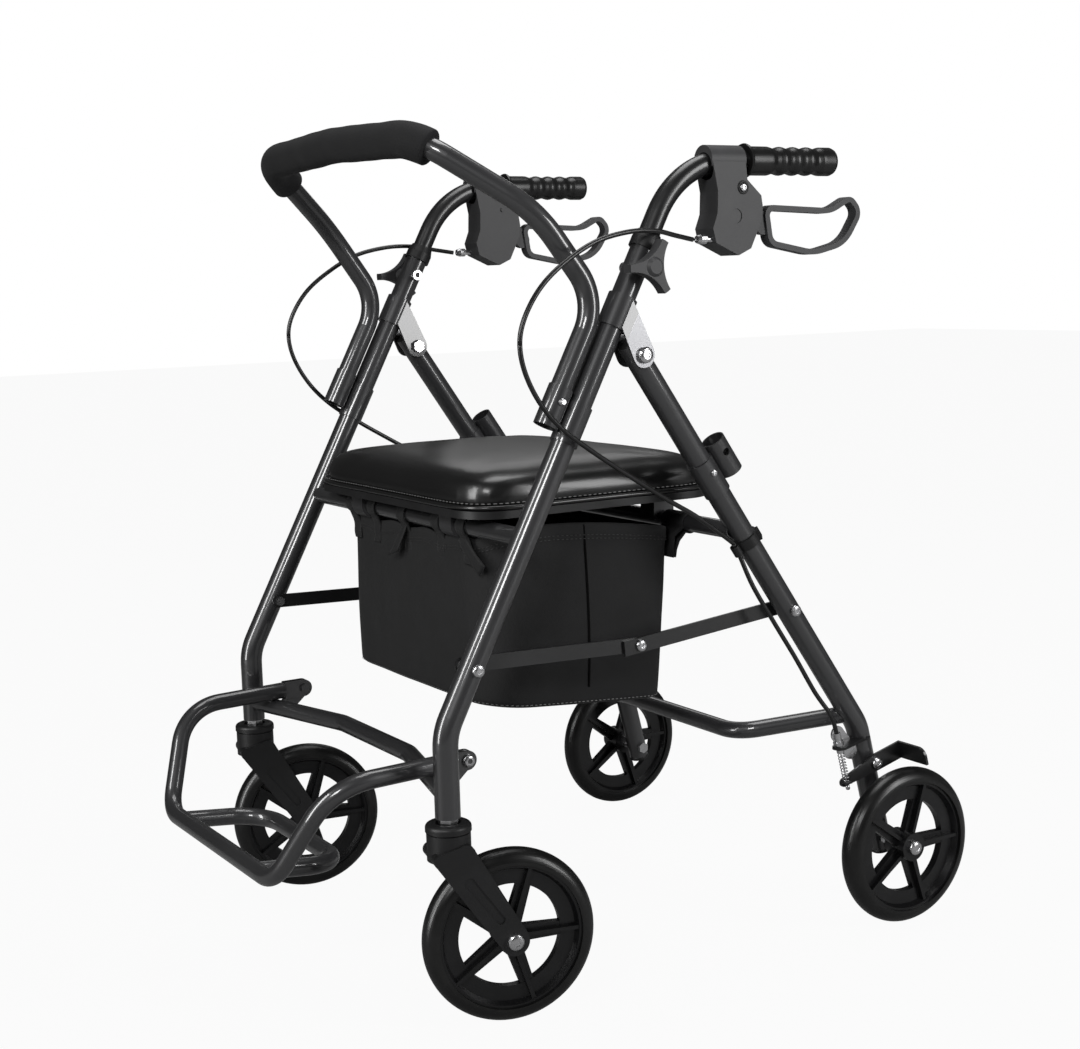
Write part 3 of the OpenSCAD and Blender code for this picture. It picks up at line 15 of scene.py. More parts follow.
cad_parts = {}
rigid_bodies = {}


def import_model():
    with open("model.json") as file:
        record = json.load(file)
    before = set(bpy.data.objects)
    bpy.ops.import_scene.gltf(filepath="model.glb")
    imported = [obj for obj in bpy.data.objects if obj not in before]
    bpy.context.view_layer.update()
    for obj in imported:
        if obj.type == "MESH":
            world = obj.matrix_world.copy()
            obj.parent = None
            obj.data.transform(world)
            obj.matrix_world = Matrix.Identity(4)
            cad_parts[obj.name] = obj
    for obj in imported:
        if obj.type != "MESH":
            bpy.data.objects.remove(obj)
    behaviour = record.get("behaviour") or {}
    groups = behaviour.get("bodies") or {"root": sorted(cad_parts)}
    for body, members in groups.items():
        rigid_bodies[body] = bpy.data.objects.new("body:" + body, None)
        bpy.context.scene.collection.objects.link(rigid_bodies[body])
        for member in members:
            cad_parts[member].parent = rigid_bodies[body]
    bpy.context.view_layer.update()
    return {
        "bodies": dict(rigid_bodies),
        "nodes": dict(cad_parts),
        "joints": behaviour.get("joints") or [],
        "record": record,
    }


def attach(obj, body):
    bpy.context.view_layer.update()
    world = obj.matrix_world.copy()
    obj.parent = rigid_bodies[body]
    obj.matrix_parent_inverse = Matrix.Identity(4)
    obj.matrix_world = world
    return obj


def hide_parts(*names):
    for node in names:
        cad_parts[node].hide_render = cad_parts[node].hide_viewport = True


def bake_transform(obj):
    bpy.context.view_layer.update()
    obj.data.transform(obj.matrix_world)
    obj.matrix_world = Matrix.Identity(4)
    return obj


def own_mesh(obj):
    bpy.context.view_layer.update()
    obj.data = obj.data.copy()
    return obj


LOG = logging.getLogger("walker")
SIDES: dict[str, float] = {"left": 1.0, "right": -1.0}
WHITE = (1.0, 1.0, 1.0, 1.0)
# Numbers of a Mix node's factor and colour sockets, whose names it gives to other sockets too
MIX_INPUTS = (0, 6, 7)
MIX_RESULT = 2
Colour = tuple[float, float, float]
Triple = tuple[float, float, float]


def mm(x: float, y: float, z: float) -> Vector:
    """A point given in the CAD's millimetres, in metres."""
    return Vector((x, y, z)) / 1000.0


def flipped(points: Sequence[Vector], side: float) -> list[Vector]:
    """The same points on the left (side 1) or mirrored to the right (side -1)."""
    return [Vector((side * p.x, p.y, p.z)) for p in points]


def smooth_path(points: Sequence[Vector], steps: int) -> list[Vector]:
    """Runs one smooth curve through chosen points, as the CAD source does.

    Args:
        points: Places that the curve passes through.
        steps: Short stretches between each two of them.

    Returns:
        Points along the curve, both ends included.
    """
    out: list[Vector] = []
    last = len(points) - 1
    for i in range(last):
        a, b, c, d = points[max(i - 1, 0)], points[i], points[i + 1], points[min(i + 2, last)]
        for k in range(steps):
            u = k / steps
            out.append(
                0.5 * (2 * b + (c - a) * u + (2 * a - 5 * b + 4 * c - d) * u * u + (3 * b - a - 3 * c + d) * u ** 3)
            )
    return out + [points[last].copy()]


def rounded_path(points: Sequence[Vector], radii: Sequence[float], step: float = 5.0) -> list[Vector]:
    """Joins straight runs with true arcs, as a bent tube has them.

    Args:
        points: Ends and corners of the runs.
        radii: Bend radius at each corner.
        step: Turn of the arc between two points, in degrees.

    Returns:
        Points along the bent line.
    """
    out = [points[0].copy()]
    for i, radius in enumerate(radii, start=1):
        u = (points[i] - points[i - 1]).normalized()
        w = (points[i + 1] - points[i]).normalized()
        turn = u.angle(w)
        side = (w - w.dot(u) * u).normalized()
        centre = points[i] - u * radius * math.tan(turn / 2) + side * radius
        count = max(2, round(math.degrees(turn) / step))
        for k in range(count + 1):
            a = turn * k / count
            out.append(centre - side * radius * math.cos(a) + u * radius * math.sin(a))
    return out + [points[-1].copy()]


def circle(count: int) -> list[tuple[float, float]]:
    """Cosine and sine at even steps round a circle."""
    return [(math.cos(2 * math.pi * k / count), math.sin(2 * math.pi * k / count)) for k in range(count)]


def baked_mesh(obj: bpy.types.Object) -> bpy.types.Mesh:
    """A plain mesh of the object as its modifiers leave it."""
    return bpy.data.meshes.new_from_object(obj.evaluated_get(bpy.context.evaluated_depsgraph_get()))


def apply_modifiers(obj: bpy.types.Object, finer: bool = False) -> None:
    """Turns a piece into its own plain mesh.

    Args:
        obj: The piece, with its modifiers.
        finer: True to divide its faces once more at the end.
    """
    if finer:
        divide = obj.modifiers.new("finer", "SUBSURF")
        divide.levels = divide.render_levels = 1
    mesh = baked_mesh(obj)
    obj.modifiers.clear()
    obj.data = mesh


def facing_place(place: Vector, way: Vector) -> Matrix:
    """Moves a form that stands on the origin to a place, with its axis along a way."""
    return Matrix.Translation(place) @ way.to_track_quat("Z", "X").to_matrix().to_4x4()


def path_frames(path: Sequence[Vector], closed: bool = False) -> list[tuple[Vector, Vector]]:
    """Carries one cross direction along a path without twist.

    Args:
        path: Points along the line.
        closed: True where the last point joins the first.

    Returns:
        Two unit vectors across the path at each point.
    """
    n = len(path)
    frames: list[tuple[Vector, Vector]] = []
    cross = Vector((0.37, 0.21, 0.9))
    for i in range(n):
        before = path[i - 1] if i or closed else path[0]
        after = path[(i + 1) % n] if i < n - 1 or closed else path[-1]
        t = (after - before).normalized()
        cross = (cross - cross.dot(t) * t).normalized()
        frames.append((cross.copy(), t.cross(cross)))
    return frames


class MeshMaker:
    """Collects rings of points into one mesh, with a UV map measured in metres."""

    def __init__(self) -> None:
        """Starts an empty mesh."""
        self.bm = bmesh.new()
        self.uv = self.bm.loops.layers.uv.new("cloth")

    def ring(self, points: Sequence[Vector]) -> list[bmesh.types.BMVert]:
        """Adds one row of points."""
        return [self.bm.verts.new(p) for p in points]

    def skin(self, rings: Sequence[list[bmesh.types.BMVert]]) -> None:
        """Covers closed rows of the same count with faces and lays the UV map along them."""
        v = 0.0
        for low, high in zip(rings, rings[1:]):
            count = len(low)
            dv = sum((b.co - a.co).length for a, b in zip(low, high)) / count
            u = 0.0
            for k in range(count):
                j = (k + 1) % count
                du = (low[j].co - low[k].co).length
                face = self.bm.faces.new((low[k], low[j], high[j], high[k]))
                for loop, place in zip(face.loops, ((u, v), (u + du, v), (u + du, v + dv), (u, v + dv))):
                    loop[self.uv].uv = place
                u += du
            v += dv

    def cap(self, ring: list[bmesh.types.BMVert]) -> None:
        """Closes a ring with a fan of faces."""
        middle = self.bm.verts.new(sum((v.co for v in ring), Vector()) / len(ring))
        for a, b in zip(ring, ring[1:] + ring[:1]):
            face = self.bm.faces.new((a, b, middle))
            for loop in face.loops:
                loop[self.uv].uv = (loop.vert.co.x + loop.vert.co.z, loop.vert.co.y)

    def barrel(self, rings: Sequence[list[bmesh.types.BMVert]]) -> None:
        """Covers rows of points and closes both ends."""
        self.skin(rings)
        self.cap(rings[0])
        self.cap(rings[-1])

    def tube(
        self, path: Sequence[Vector], radii: float | Sequence[float], sides: int, closed: bool = False
    ) -> None:
        """Sweeps a round section along a path.

        Args:
            path: Centre line.
            radii: One radius, or one for each point.
            sides: Facets round the tube.
            closed: True for an endless tube.
        """
        if isinstance(radii, (int, float)):
            radii = [radii] * len(path)
        rings = [
            self.ring([p + r * (cos * x + sin * y) for cos, sin in circle(sides)])
            for p, r, (x, y) in zip(path, radii, path_frames(path, closed))
        ]
        if closed:
            self.skin(rings + rings[:1])
        else:
            self.barrel(rings)

    def band(self, path: Sequence[Vector], across: Vector, width: float, thick: float, flare: float = 1.0) -> None:
        """Sweeps a flat webbing section along a path that lies square to its width.

        Args:
            path: Middle line of the webbing.
            across: Direction of its width.
            width: Width of the webbing.
            thick: Thickness of the webbing.
            flare: How many times wider it is at its end.
        """
        edge = [(k / 4, -0.5) for k in range(-2, 3)]
        section = edge + [(-u, -v) for u, v in edge]
        rings = []
        for i, p in enumerate(path):
            t = (path[min(i + 1, len(path) - 1)] - path[max(i - 1, 0)]).normalized()
            up = t.cross(across)
            wide = width * (1 + (flare - 1) * i / (len(path) - 1))
            rings.append(self.ring([p + across * (u * wide) + up * (v * thick) for u, v in section]))
        self.barrel(rings)

    def lathe(self, profile: Sequence[tuple[float, float]], place: Matrix, sides: int = 24) -> None:
        """Turns a profile of (radius, height) about an axis that place sets.

        Args:
            profile: Points from the foot to the top, off the axis.
            place: Moves the turned form to its place.
            sides: Facets round the axis.
        """
        self.barrel([
            self.ring([place @ Vector((r * cos, r * sin, h)) for cos, sin in circle(sides)]) for r, h in profile
        ])

    def piece(self, name: str, finish: "Finish", smooth: bool = True) -> bpy.types.Object:
        """Closes the mesh and makes it an object at the origin.

        Args:
            name: Name of the piece.
            finish: What it is made of.
            smooth: True for smooth shading.

        Returns:
            The new object.
        """
        bmesh.ops.recalc_face_normals(self.bm, faces=self.bm.faces)
        mesh = bpy.data.meshes.new(name)
        self.bm.to_mesh(mesh)
        self.bm.free()
        return place_mesh(name, mesh, finish, smooth)


def place_mesh(name: str, mesh: bpy.types.Mesh, finish: "Finish", smooth: bool = True) -> bpy.types.Object:
    """Puts a finished mesh in the scene.

    Args:
        name: Name of the piece.
        mesh: Its mesh, in place.
        finish: What it is made of.
        smooth: True for smooth shading.

    Returns:
        The new object.
    """
    mesh.name = name
    mesh.materials.clear()
    mesh.materials.append(finish.material())
    for face in mesh.polygons:
        face.use_smooth = smooth
    obj = bpy.data.objects.new(name, mesh)
    bpy.context.scene.collection.objects.link(obj)
    LOG.info("%s: %d faces", name, len(mesh.polygons))
    return obj


# Node trees, and the shader groups that several finishes share


class NodeSheet:
    """Adds and links the nodes of one tree."""

    def __init__(self, tree: bpy.types.NodeTree) -> None:
        """Works on a tree that is there already."""
        self.tree = tree

    def node(self, kind: str, inputs: dict[str | int, object] | None = None, **settings: object) -> bpy.types.Node:
        """Adds a node.

        Args:
            kind: Type of the node.
            inputs: Sockets or plain values for its inputs, by name or number.
            settings: Its properties, set before the inputs.

        Returns:
            The node.
        """
        made = self.tree.nodes.new(kind)
        for key, value in settings.items():
            setattr(made, key, value)
        for label, value in (inputs or {}).items():
            self.feed(value, made.inputs[label])
        return made

    def math(self, operation: str, *values: object) -> bpy.types.NodeSocket:
        """Adds a Math node for sockets or plain values and gives its result."""
        return self.node("ShaderNodeMath", dict(enumerate(values)), operation=operation).outputs[0]

    def mix(self, share: object, first: object, second: object, blend: str = "MIX") -> bpy.types.NodeSocket:
        """Blends two colours.

        Args:
            share: Share of the second colour.
            first: First colour.
            second: Second colour.
            blend: How the second colour is laid on.

        Returns:
            The blended colour.
        """
        made = self.node("ShaderNodeMix", data_type="RGBA", blend_type=blend)
        for place, value in zip(MIX_INPUTS, (share, first, second)):
            self.feed(value, made.inputs[place])
        return made.outputs[MIX_RESULT]

    def show(self, lit: bpy.types.NodeSocket, seen: bpy.types.NodeSocket, share: float, output: str) -> None:
        """Gives the tree one shader for the light and another for the camera.

        Args:
            lit: Shader that the light meets.
            seen: Shader that the camera sees.
            share: How much of it the camera sees.
            output: Name of the tree's output node.
        """
        by_camera = self.math("MULTIPLY", self.node("ShaderNodeLightPath").outputs["Is Camera Ray"], share)
        both = self.node("ShaderNodeMixShader", {0: by_camera, 1: lit, 2: seen})
        self.feed(both.outputs[0], self.tree.nodes[output].inputs["Surface"])

    def feed(self, value: object, socket: bpy.types.NodeSocket) -> None:
        """Links a socket, or sets a plain value."""
        if isinstance(value, bpy.types.NodeSocket):
            self.tree.links.new(value, socket)
        else:
            socket.default_value = value


class GroupSheet(NodeSheet):
    """A shader node group with named sockets."""

    def __init__(self, name: str, inputs: dict[str, str], outputs: dict[str, str]) -> None:
        """Makes the group and its sockets.

        Args:
            name: Name of the group.
            inputs: Kind of each input by name.
            outputs: Kind of each output by name.
        """
        super().__init__(bpy.data.node_groups.new(name, "ShaderNodeTree"))
        for way, sockets in (("INPUT", inputs), ("OUTPUT", outputs)):
            for label, kind in sockets.items():
                self.tree.interface.new_socket(name=label, in_out=way, socket_type=f"NodeSocket{kind}")
        self.given = self.tree.nodes.new("NodeGroupInput").outputs
        self.result = self.tree.nodes.new("NodeGroupOutput").inputs


@cache
def grain_group() -> bpy.types.NodeTree:
    """Fine moulded or sprayed grain: a height and a slow change of tone over the surface."""
    sheet = GroupSheet(
        "surface_grain", {"Vector": "Vector", "Size": "Float", "Patch": "Float"}, {"Height": "Float", "Tone": "Float"}
    )
    vector = sheet.given["Vector"]
    dense = sheet.math("DIVIDE", 1.0, sheet.given["Size"])
    sparse = sheet.math("DIVIDE", 1.0, sheet.given["Patch"])
    fine = sheet.node("ShaderNodeTexNoise", {"Vector": vector, "Scale": dense, "Detail": 3.0})
    cells = sheet.node("ShaderNodeTexVoronoi", {"Vector": vector, "Scale": dense})
    slow = sheet.node("ShaderNodeTexNoise", {"Vector": vector, "Scale": sparse, "Detail": 5.0, "Roughness": 0.62})
    height = sheet.math("ADD", fine.outputs[0], sheet.math("MULTIPLY", cells.outputs["Distance"], 0.6))
    sheet.feed(height, sheet.result["Height"])
    sheet.feed(slow.outputs[0], sheet.result["Tone"])
    return sheet.tree


@cache
def wear_group() -> bpy.types.NodeTree:
    """Handling wear: fine scuffs and dust that lighten a colour in patches."""
    sheet = GroupSheet(
        "handling_wear",
        {"Vector": "Vector", "Colour": "Color", "Worn Colour": "Color", "Amount": "Float", "Patch": "Float"},
        {"Colour": "Color"},
    )
    vector = sheet.given["Vector"]
    scale = sheet.math("DIVIDE", 1.0, sheet.given["Patch"])
    cloud = sheet.node("ShaderNodeTexNoise", {"Vector": vector, "Scale": scale, "Detail": 6.0})
    speck = sheet.node("ShaderNodeTexNoise", {"Vector": vector, "Scale": 900.0})
    dust = sheet.math("ADD", cloud.outputs[0], sheet.math("MULTIPLY", speck.outputs[0], 0.12))
    ramp = sheet.node(
        "ShaderNodeMapRange", {"Value": dust, "From Min": 0.48, "From Max": 0.78}, interpolation_type="SMOOTHSTEP"
    )
    mask = sheet.math("MULTIPLY", ramp.outputs[0], sheet.given["Amount"])
    sheet.feed(sheet.mix(mask, sheet.given["Colour"], sheet.given["Worn Colour"]), sheet.result["Colour"])
    return sheet.tree


@cache
def weave_group() -> bpy.types.NodeTree:
    """Plain weave on a UV map in metres: thread height and the shade between the threads."""
    sheet = GroupSheet("plain_weave", {"Vector": "Vector", "Pitch": "Float"}, {"Height": "Float", "Shade": "Float"})
    parts = sheet.node("ShaderNodeSeparateXYZ", {0: sheet.given["Vector"]})
    step = sheet.math("DIVIDE", math.pi, sheet.given["Pitch"])
    warp, weft = (sheet.math("SINE", sheet.math("MULTIPLY", parts.outputs[k], step)) for k in (0, 1))
    over = sheet.math("GREATER_THAN", sheet.math("MULTIPLY", warp, weft), 0.0)
    under = sheet.math("SUBTRACT", 1.0, over)
    height = sheet.math("ADD", *(
        sheet.math("MULTIPLY", sheet.math("ABSOLUTE", wave), mask) for wave, mask in ((warp, over), (weft, under))
    ))
    sheet.feed(height, sheet.result["Height"])
    sheet.feed(sheet.math("MULTIPLY_ADD", height, 0.55, 0.45), sheet.result["Shade"])
    return sheet.tree


@dataclass(frozen=True)
class Surface:
    """A finish of the walker: plain values for the shader, and its grain, patches and weave in metres."""

    slot: str
    colour: Colour
    worn: Colour
    roughness: float
    metallic: float = 0.0
    coat: float = 0.0
    coat_roughness: float = 0.1
    sheen: float = 0.0
    specular: float = 0.5
    grain: float = 0.001
    bump: float = 0.1
    depth: float = 0.0003
    patch: float = 0.08
    wear: float = 0.3
    spread: float = 0.12
    weave: float = 0.0

    def build(self, name: str) -> bpy.types.Material:
        """Makes the material with its nodes.

        Args:
            name: Name of the material.

        Returns:
            The material.
        """
        material = bpy.data.materials.new(name)
        material.use_nodes = True
        sheet = NodeSheet(material.node_tree)
        place = sheet.node("ShaderNodeTexCoord").outputs["UV" if self.weave else "Object"]
        scale = {"Vector": place, "Patch": self.patch}
        grain = sheet.node("ShaderNodeGroup", {**scale, "Size": self.grain}, node_tree=grain_group())
        wear = sheet.node(
            "ShaderNodeGroup",
            {**scale, "Colour": (*self.colour, 1.0), "Worn Colour": (*self.worn, 1.0), "Amount": self.wear},
            node_tree=wear_group(),
        )
        half = self.spread / 2
        rough = sheet.node(
            "ShaderNodeMapRange",
            {"Value": grain.outputs["Tone"], "To Min": self.roughness - half, "To Max": self.roughness + half},
        )
        colour, height = wear.outputs["Colour"], grain.outputs["Height"]
        if self.weave:
            threads = sheet.node("ShaderNodeGroup", {"Vector": place, "Pitch": self.weave}, node_tree=weave_group())
            colour = sheet.mix(1.0, colour, threads.outputs["Shade"], "MULTIPLY")
            height = threads.outputs["Height"]
        bump = sheet.node("ShaderNodeBump", {"Strength": self.bump, "Distance": self.depth, "Height": height})
        for socket, value in (
            ("Metallic", self.metallic), ("Coat Weight", self.coat), ("Coat Roughness", self.coat_roughness),
            ("Sheen Weight", self.sheen), ("Specular IOR Level", self.specular), ("Roughness", rough.outputs[0]),
            ("Normal", bump.outputs[0]), ("Base Color", colour),
        ):
            sheet.feed(value, material.node_tree.nodes["Principled BSDF"].inputs[socket])
        return material


@dataclass(frozen=True)
class Plated:
    """A painted bracket whose outer cheek plates are left bright."""

    slot: str
    paint: Surface
    bright: Surface
    normal: Triple
    offset: float
    reach: float

    def build(self, name: str) -> bpy.types.Material:
        """Makes the painted material and brightens it behind a plane, on the outer side alone.

        Args:
            name: Name of the material.

        Returns:
            The material.
        """
        material = self.paint.build(name)
        shader = material.node_tree.nodes["Principled BSDF"]
        sheet = NodeSheet(material.node_tree)
        place = sheet.node("ShaderNodeTexCoord").outputs["Object"]
        dot = sheet.node("ShaderNodeVectorMath", {0: place, 1: self.normal}, operation="DOT_PRODUCT")
        across = sheet.math("ABSOLUTE", sheet.node("ShaderNodeSeparateXYZ", {0: place}).outputs[0])
        outer = sheet.math("GREATER_THAN", across, self.reach)
        mask = sheet.math("MULTIPLY", sheet.math("GREATER_THAN", dot.outputs["Value"], self.offset), outer)
        colour = shader.inputs["Base Color"]
        sheet.feed(sheet.mix(mask, colour.links[0].from_socket, (*self.bright.colour, 1.0)), colour)
        for socket, painted, bare in (
            ("Metallic", self.paint.metallic, self.bright.metallic),
            ("Coat Weight", self.paint.coat, self.bright.coat),
        ):
            blend = sheet.node("ShaderNodeMapRange", {"Value": mask, "To Min": painted, "To Max": bare})
            sheet.feed(blend.outputs[0], shader.inputs[socket])
        return material


PAINT = Surface(
    "frame_paint", (0.040, 0.040, 0.042), (0.058, 0.058, 0.060), 0.40, 0.25, 1.0, 0.045,
    grain=0.0016, bump=0.04, patch=0.12, wear=0.4, spread=0.1,
)
STEEL = Surface(
    "bright_steel", (0.62, 0.62, 0.63), (0.40, 0.40, 0.41), 0.26, 1.0,
    grain=0.0009, bump=0.06, patch=0.02, spread=0.16,
)
PLATE = Surface("bright_steel", (0.30, 0.30, 0.31), (0.24, 0.24, 0.25), 0.30, 1.0)


class Finish(Enum):
    """The walker's finishes, by the record's material slots."""

    FRAME_PAINT = PAINT
    BRIGHT_STEEL = STEEL
    BRACKET = Plated("bright_steel", PAINT, PLATE, (0.0, 0.8829, -0.4695), -0.3454, 0.250)
    BLACK_PAINT = Surface(
        "black_paint", (0.010, 0.010, 0.0105), (0.022, 0.022, 0.023), 0.36, coat=0.3, coat_roughness=0.16,
        grain=0.0011, bump=0.06, patch=0.06,
    )
    BLACK_PLASTIC = Surface(
        "black_plastic", (0.010, 0.010, 0.0105), (0.022, 0.022, 0.023), 0.46, specular=0.4, grain=0.0008, bump=0.12,
        patch=0.05,
    )
    GREY_PLASTIC = Surface(
        "grey_plastic", (0.052, 0.052, 0.054), (0.080, 0.080, 0.082), 0.50, specular=0.4, grain=0.0009, bump=0.16,
        patch=0.04, wear=0.35,
    )
    WHEEL_PLASTIC = Surface(
        "wheel_plastic", (0.006, 0.006, 0.0065), (0.016, 0.016, 0.017), 0.30, specular=0.45, grain=0.0012, bump=0.05,
        patch=0.03,
    )
    TYRE = Surface(
        "tyre", (0.006, 0.006, 0.006), (0.020, 0.0195, 0.019), 0.30, specular=0.45, grain=0.0018, bump=0.07,
        patch=0.03, wear=0.35, spread=0.14,
    )
    FOAM = Surface(
        "foam", (0.013, 0.013, 0.014), (0.024, 0.024, 0.025), 0.82, sheen=0.04, specular=0.25, grain=0.0013,
        bump=0.45, depth=0.0005, patch=0.03, wear=0.45,
    )
    GRIP_RUBBER = Surface(
        "grip_rubber", (0.008, 0.008, 0.008), (0.020, 0.020, 0.020), 0.34, specular=0.45, grain=0.0014, bump=0.08,
        patch=0.02, wear=0.35,
    )
    VINYL = Surface(
        "vinyl", (0.006, 0.006, 0.006), (0.012, 0.012, 0.012), 0.34, coat=0.25, coat_roughness=0.2, grain=0.0022,
        bump=0.12, depth=0.0004, patch=0.07, spread=0.05,
    )
    NYLON = Surface(
        "nylon", (0.012, 0.012, 0.0125), (0.021, 0.021, 0.022), 0.72, sheen=0.05, specular=0.3, bump=0.35,
        depth=0.0003, patch=0.05, wear=0.5, weave=0.0011,
    )
    THREAD = Surface(
        "nylon", (0.20, 0.20, 0.20), (0.32, 0.32, 0.31), 0.6, grain=0.0006, bump=0.2, patch=0.01, wear=0.6,
    )
    DARK_THREAD = Surface(
        "nylon", (0.040, 0.040, 0.040), (0.060, 0.060, 0.060), 0.7, grain=0.0006, bump=0.2, patch=0.01, wear=0.6,
    )
    SEAM = Surface(
        "nylon", (0.002, 0.002, 0.002), (0.004, 0.004, 0.004), 0.9, specular=0.1, grain=0.0006, bump=0.2, patch=0.01,
    )
    CABLE_JACKET = Surface(
        "cable_jacket", (0.008, 0.008, 0.008), (0.018, 0.018, 0.018), 0.32, grain=0.0007, bump=0.06, patch=0.03,
    )

    def material(self) -> bpy.types.Material:
        """The finish's material, made on first use."""
        name = f"walker_{self.name.lower()}"
        return bpy.data.materials.get(name) or self.value.build(name)


# Geometry Nodes trees for what repeats


class GrowTree(NodeSheet):
    """A Geometry Nodes tree with named inputs that grows a plain mesh on a carrier."""

    def __init__(self, name: str, inputs: dict[str, str]) -> None:
        """Makes the tree and its sockets.

        Args:
            name: Name of the tree.
            inputs: Kind of each input after the geometry, by name.
        """
        super().__init__(bpy.data.node_groups.new(name, "GeometryNodeTree"))
        face = self.tree.interface
        face.new_socket(name="Geometry", in_out="INPUT", socket_type="NodeSocketGeometry")
        self.ids = {}
        for label, kind in inputs.items():
            self.ids[label] = face.new_socket(name=label, in_out="INPUT", socket_type=f"NodeSocket{kind}").identifier
        face.new_socket(name="Geometry", in_out="OUTPUT", socket_type="NodeSocketGeometry")
        self.source = self.tree.nodes.new("NodeGroupInput")
        self.sink = self.tree.nodes.new("NodeGroupOutput")

    def given(self, label: str) -> bpy.types.NodeSocket:
        """The tree's own input of that name."""
        return self.source.outputs[label]

    def close(self, geometry: bpy.types.NodeSocket) -> None:
        """Realizes the instances, sets the material and ends the tree."""
        real = self.node("GeometryNodeRealizeInstances", {"Geometry": geometry})
        dressed = self.node(
            "GeometryNodeSetMaterial", {"Geometry": real.outputs[0], "Material": self.given("Finish")}
        )
        self.feed(dressed.outputs[0], self.sink.inputs[0])

    def grow(self, carrier: bpy.types.Mesh, values: dict[str, object]) -> bpy.types.Mesh:
        """Runs the tree on a carrier mesh.

        Args:
            carrier: Mesh that the tree grows on.
            values: A value for each named input.

        Returns:
            The grown plain mesh.
        """
        obj = bpy.data.objects.new("carrier", carrier)
        bpy.context.scene.collection.objects.link(obj)
        modifier = obj.modifiers.new("grow", "NODES")
        modifier.node_group = self.tree
        for label, value in values.items():
            modifier[self.ids[label]] = value
        mesh = baked_mesh(obj)
        obj.modifiers.remove(modifier)
        bpy.data.objects.remove(obj)
        bpy.data.meshes.remove(carrier)
        return mesh


@cache
def stitch_tree() -> GrowTree:
    """Rows of short raised stitches along the carrier's edges."""
    grow = GrowTree(
        "stitch_row", {"Spacing": "Float", "Length": "Float", "Thread": "Float", "Finish": "Material"}
    )
    line = grow.node("GeometryNodeMeshToCurve", {"Mesh": grow.given("Geometry")})
    points = grow.node(
        "GeometryNodeCurveToPoints", {"Curve": line.outputs[0], "Length": grow.given("Spacing")}, mode="LENGTH"
    )
    turn = grow.node("FunctionNodeAlignRotationToVector", {"Vector": points.outputs["Tangent"]}, axis="Z")
    bead = grow.node("GeometryNodeMeshUVSphere", {"Segments": 6, "Rings": 5, "Radius": 0.5})
    size = grow.node(
        "ShaderNodeCombineXYZ", {"X": grow.given("Thread"), "Y": grow.given("Thread"), "Z": grow.given("Length")}
    )
    shaped = grow.node("GeometryNodeTransform", {"Geometry": bead.outputs[0], "Scale": size.outputs[0]})
    spread = grow.node(
        "GeometryNodeInstanceOnPoints",
        {"Points": points.outputs[0], "Instance": shaped.outputs[0], "Rotation": turn.outputs[0]},
    )
    grow.close(spread.outputs[0])
    return grow


def screw_tree() -> GrowTree:
    """Screw heads on the carrier's points, turned to each point's facing and scaled to its size."""
    grow = GrowTree("screw_set", {"Head": "Object", "Finish": "Material"})
    facing = grow.node("GeometryNodeInputNamedAttribute", {"Name": "facing"}, data_type="FLOAT_VECTOR")
    size = grow.node("GeometryNodeInputNamedAttribute", {"Name": "size"}, data_type="FLOAT")
    points = grow.node("GeometryNodeMeshToPoints", {"Mesh": grow.given("Geometry")})
    turn = grow.node("FunctionNodeAlignRotationToVector", {"Vector": facing.outputs[0]}, axis="Z")
    head = grow.node("GeometryNodeObjectInfo", {"Object": grow.given("Head")})
    spread = grow.node(
        "GeometryNodeInstanceOnPoints",
        {"Points": points.outputs[0], "Instance": head.outputs["Geometry"], "Rotation": turn.outputs[0],
         "Scale": size.outputs[0]},
    )
    grow.close(spread.outputs[0])
    return grow


def coil_tree() -> GrowTree:
    """A wound wire spring that stands on the origin."""
    grow = GrowTree(
        "wire_coil", {"Curls": "Float", "Radius": "Float", "Rise": "Float", "Wire": "Float", "Finish": "Material"}
    )
    line = grow.node(
        "GeometryNodeCurveSpiral",
        {"Resolution": 28, "Rotations": grow.given("Curls"), "Start Radius": grow.given("Radius"),
         "End Radius": grow.given("Radius"), "Height": grow.given("Rise")},
    )
    section = grow.node("GeometryNodeCurvePrimitiveCircle", {"Resolution": 10, "Radius": grow.given("Wire")})
    wire = grow.node(
        "GeometryNodeCurveToMesh",
        {"Curve": line.outputs[0], "Profile Curve": section.outputs[0], "Fill Caps": True},
    )
    grow.close(wire.outputs[0])
    return grow


def line_mesh(rows: Sequence[Sequence[Vector]], closed: bool = False) -> bpy.types.Mesh:
    """A carrier of plain edges.

    Args:
        rows: Points along each line.
        closed: True where each line ends at its start.

    Returns:
        The carrier mesh.
    """
    points: list[Vector] = []
    edges: list[tuple[int, int]] = []
    for row in rows:
        first = len(points)
        points.extend(row)
        edges.extend((i, i + 1) for i in range(first, len(points) - 1))
        if closed:
            edges.append((len(points) - 1, first))
    mesh = bpy.data.meshes.new("line")
    mesh.from_pydata([tuple(p) for p in points], edges, [])
    return mesh


@dataclass(frozen=True)
class Stitch:
    """Size of the stitches in a row."""

    spacing: float
    length: float
    thread: float

    def sew(
        self, name: str, rows: Sequence[Sequence[Vector]], finish: Finish, closed: bool = False
    ) -> bpy.types.Object:
        """Sews rows of stitches along lines.

        Args:
            name: Name of the piece.
            rows: Points along each line.
            finish: The thread.
            closed: True where each line ends at its start.

        Returns:
            All the stitches as one piece.
        """
        values = {"Spacing": self.spacing, "Length": self.length, "Thread": self.thread, "Finish": finish.material()}
        return place_mesh(name, stitch_tree().grow(line_mesh(rows, closed), values), finish)


# The studio


